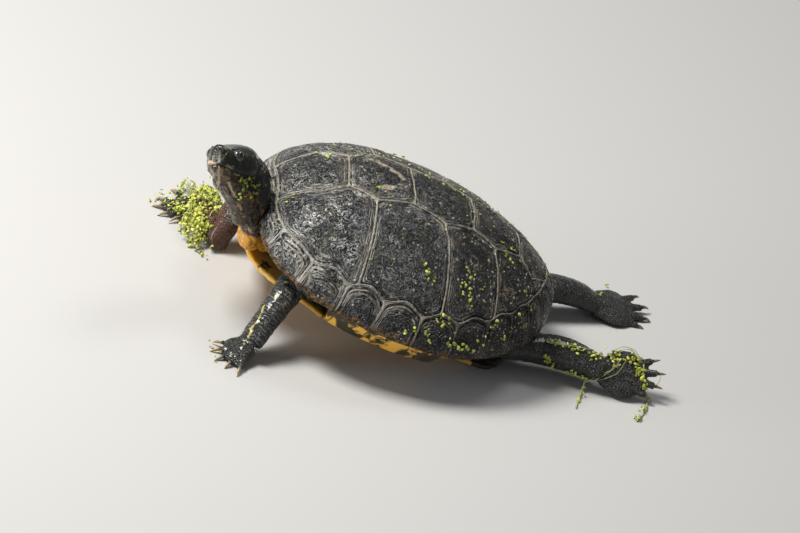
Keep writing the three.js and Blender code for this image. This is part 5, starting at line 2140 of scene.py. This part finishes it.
def eye_look_of():
    finish, tree, shader = look("wet_eye", 0.03, Coat_Weight=1.0, Coat_Roughness=0.02)
    gaze, height = value_of(tree, "gaze"), value_of(tree, "height")
    grain = soft_noise(tree, here(tree), 0.5, 3)
    iris = mixed(tree, ramp(tree, grain, 0.35, 0.7), IRIS_DARK, IRIS_OLIVE)
    bar = ramp(tree, sums(tree, "ABSOLUTE", height), 0.5, 0.8, 1.0, 0.0)
    iris = laid_over(tree, iris, IRIS_BAR, bar)
    inner, outer = ramp(tree, gaze, 27.0, 28.5), ramp(tree, gaze, 29.0, 30.5, 1.0, 0.0)
    iris = laid_over(tree, iris, IRIS_RING, inner, outer, 0.6)
    colour = mixed(tree, ramp(tree, gaze, 26.0, 27.5), PUPIL_BLACK, iris)
    # A painted blue-grey sheen on the outer part of the eyeball.
    colour = laid_over(tree, colour, EYE_SHEEN_BLUE_GREY, ramp(tree, gaze, 46.0, 52.0))
    return finished(finish, tree, shader, colour)


wet_eye = eye_look_of()
print(wet_eye.name, len(wet_eye.node_tree.nodes), "nodes")

# %% [markdown]
# Claws are dark at the root and pale and streaked at the tip. Leaves of duckweed differ
# in age, so each leaf keeps one tone, and some patches are dark or old.

# %% Claws and weed
CLAW_BLACK = (0.014, 0.013, 0.01)
CLAW_BROWN = (0.25, 0.18, 0.105)
CLAW_STREAK = (0.42, 0.3, 0.17)
CLAW_TIP = (0.5, 0.4, 0.25)
WEED_GREEN = (0.25, 0.32, 0.025)
WEED_YELLOW = (0.7, 0.68, 0.13)
WEED_DARK = (0.13, 0.17, 0.018)
WEED_OLD = (0.72, 0.5, 0.05)
WEED_ROOT = (0.34, 0.36, 0.14)


def claw_look_of():
    finish, tree, shader = look("claw_horn", 0.3, Coat_Weight=0.3, Coat_Roughness=0.15)
    place = here(tree)
    reach = times_plus(tree, soft_noise(tree, place, 1.5, 3), 0.25, value_of(tree, "reach"))
    colour = mixed(tree, ramp(tree, reach, 0.2, 0.5), CLAW_BLACK, CLAW_BROWN)
    colour = mottled(tree, colour, CLAW_STREAK, place, 1.6, 0.4, 0.55)
    colour = laid_over(tree, colour, CLAW_TIP, ramp(tree, reach, 0.85, 1.1))
    relief = use(tree, grit, Place=place, Size=1.2, Fine=0.3)
    return finished(finish, tree, shader, colour, None, relief, 0.06)


def weed_look_of():
    finish, tree, shader = look("duckweed", 0.38, Coat_Weight=0.25, Coat_Roughness=0.2)
    place = here(tree)
    colour = mixed(tree, value_of(tree, "tone"), WEED_GREEN, WEED_YELLOW)
    colour = mottled(tree, colour, WEED_DARK, place, 5.0, 0.42, 0.75)
    colour = mottled(tree, colour, WEED_OLD, place, 9.0, 0.22, 0.7)
    colour = laid_over(tree, colour, WEED_ROOT, value_of(tree, "root"))
    relief = use(tree, grit, Place=place, Size=1.0, Fine=0.4)
    return finished(finish, tree, shader, colour, None, relief, 0.08)


claw_horn = claw_look_of()
duckweed = weed_look_of()
print([m.name for m in bpy.data.materials if m.use_nodes])

# %% [markdown]
# ## Handing over
#
# Each piece gets its finish, is hung on the model's one body and hides the plain solids
# it stands for.

# %% Give every piece its finish and hang it on the body


def keep(piece, look, slot, *stands_for):
    """Give a finished piece its look and hang it on the model's one body."""
    piece.data.materials.clear()
    piece.data.materials.append(look)
    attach(piece, "root")
    if stands_for:
        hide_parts(*stands_for)
    print(piece.name, len(piece.data.polygons), "faces")


for piece in plates:
    keep(piece, back_horn, "scute", piece.name.replace("_plate", ""))
keep(edge_plates[0], edge_horn, "scute", "nuchal")
keep(edge_plates[1], edge_horn, "scute", "marginals_left")
keep(edge_plates[2], edge_horn, "scute", "marginals_right")
for piece in belly_parts:
    keep(piece, belly_horn, "plastron", piece.name.replace("_horn", ""))
keep(skin, wet_skin, "skin", "trunk", "tail", "head", "lower_jaw", "neck", *LEGS)
keep(eyes[0], wet_eye, "eye", "eye_left")
keep(eyes[1], wet_eye, "eye", "eye_right")
for piece, own in claws:
    keep(piece, claw_horn, "claw", *own)
for piece in (shell_weed, limb_weed, weed_roots):
    keep(piece, duckweed, "weed")
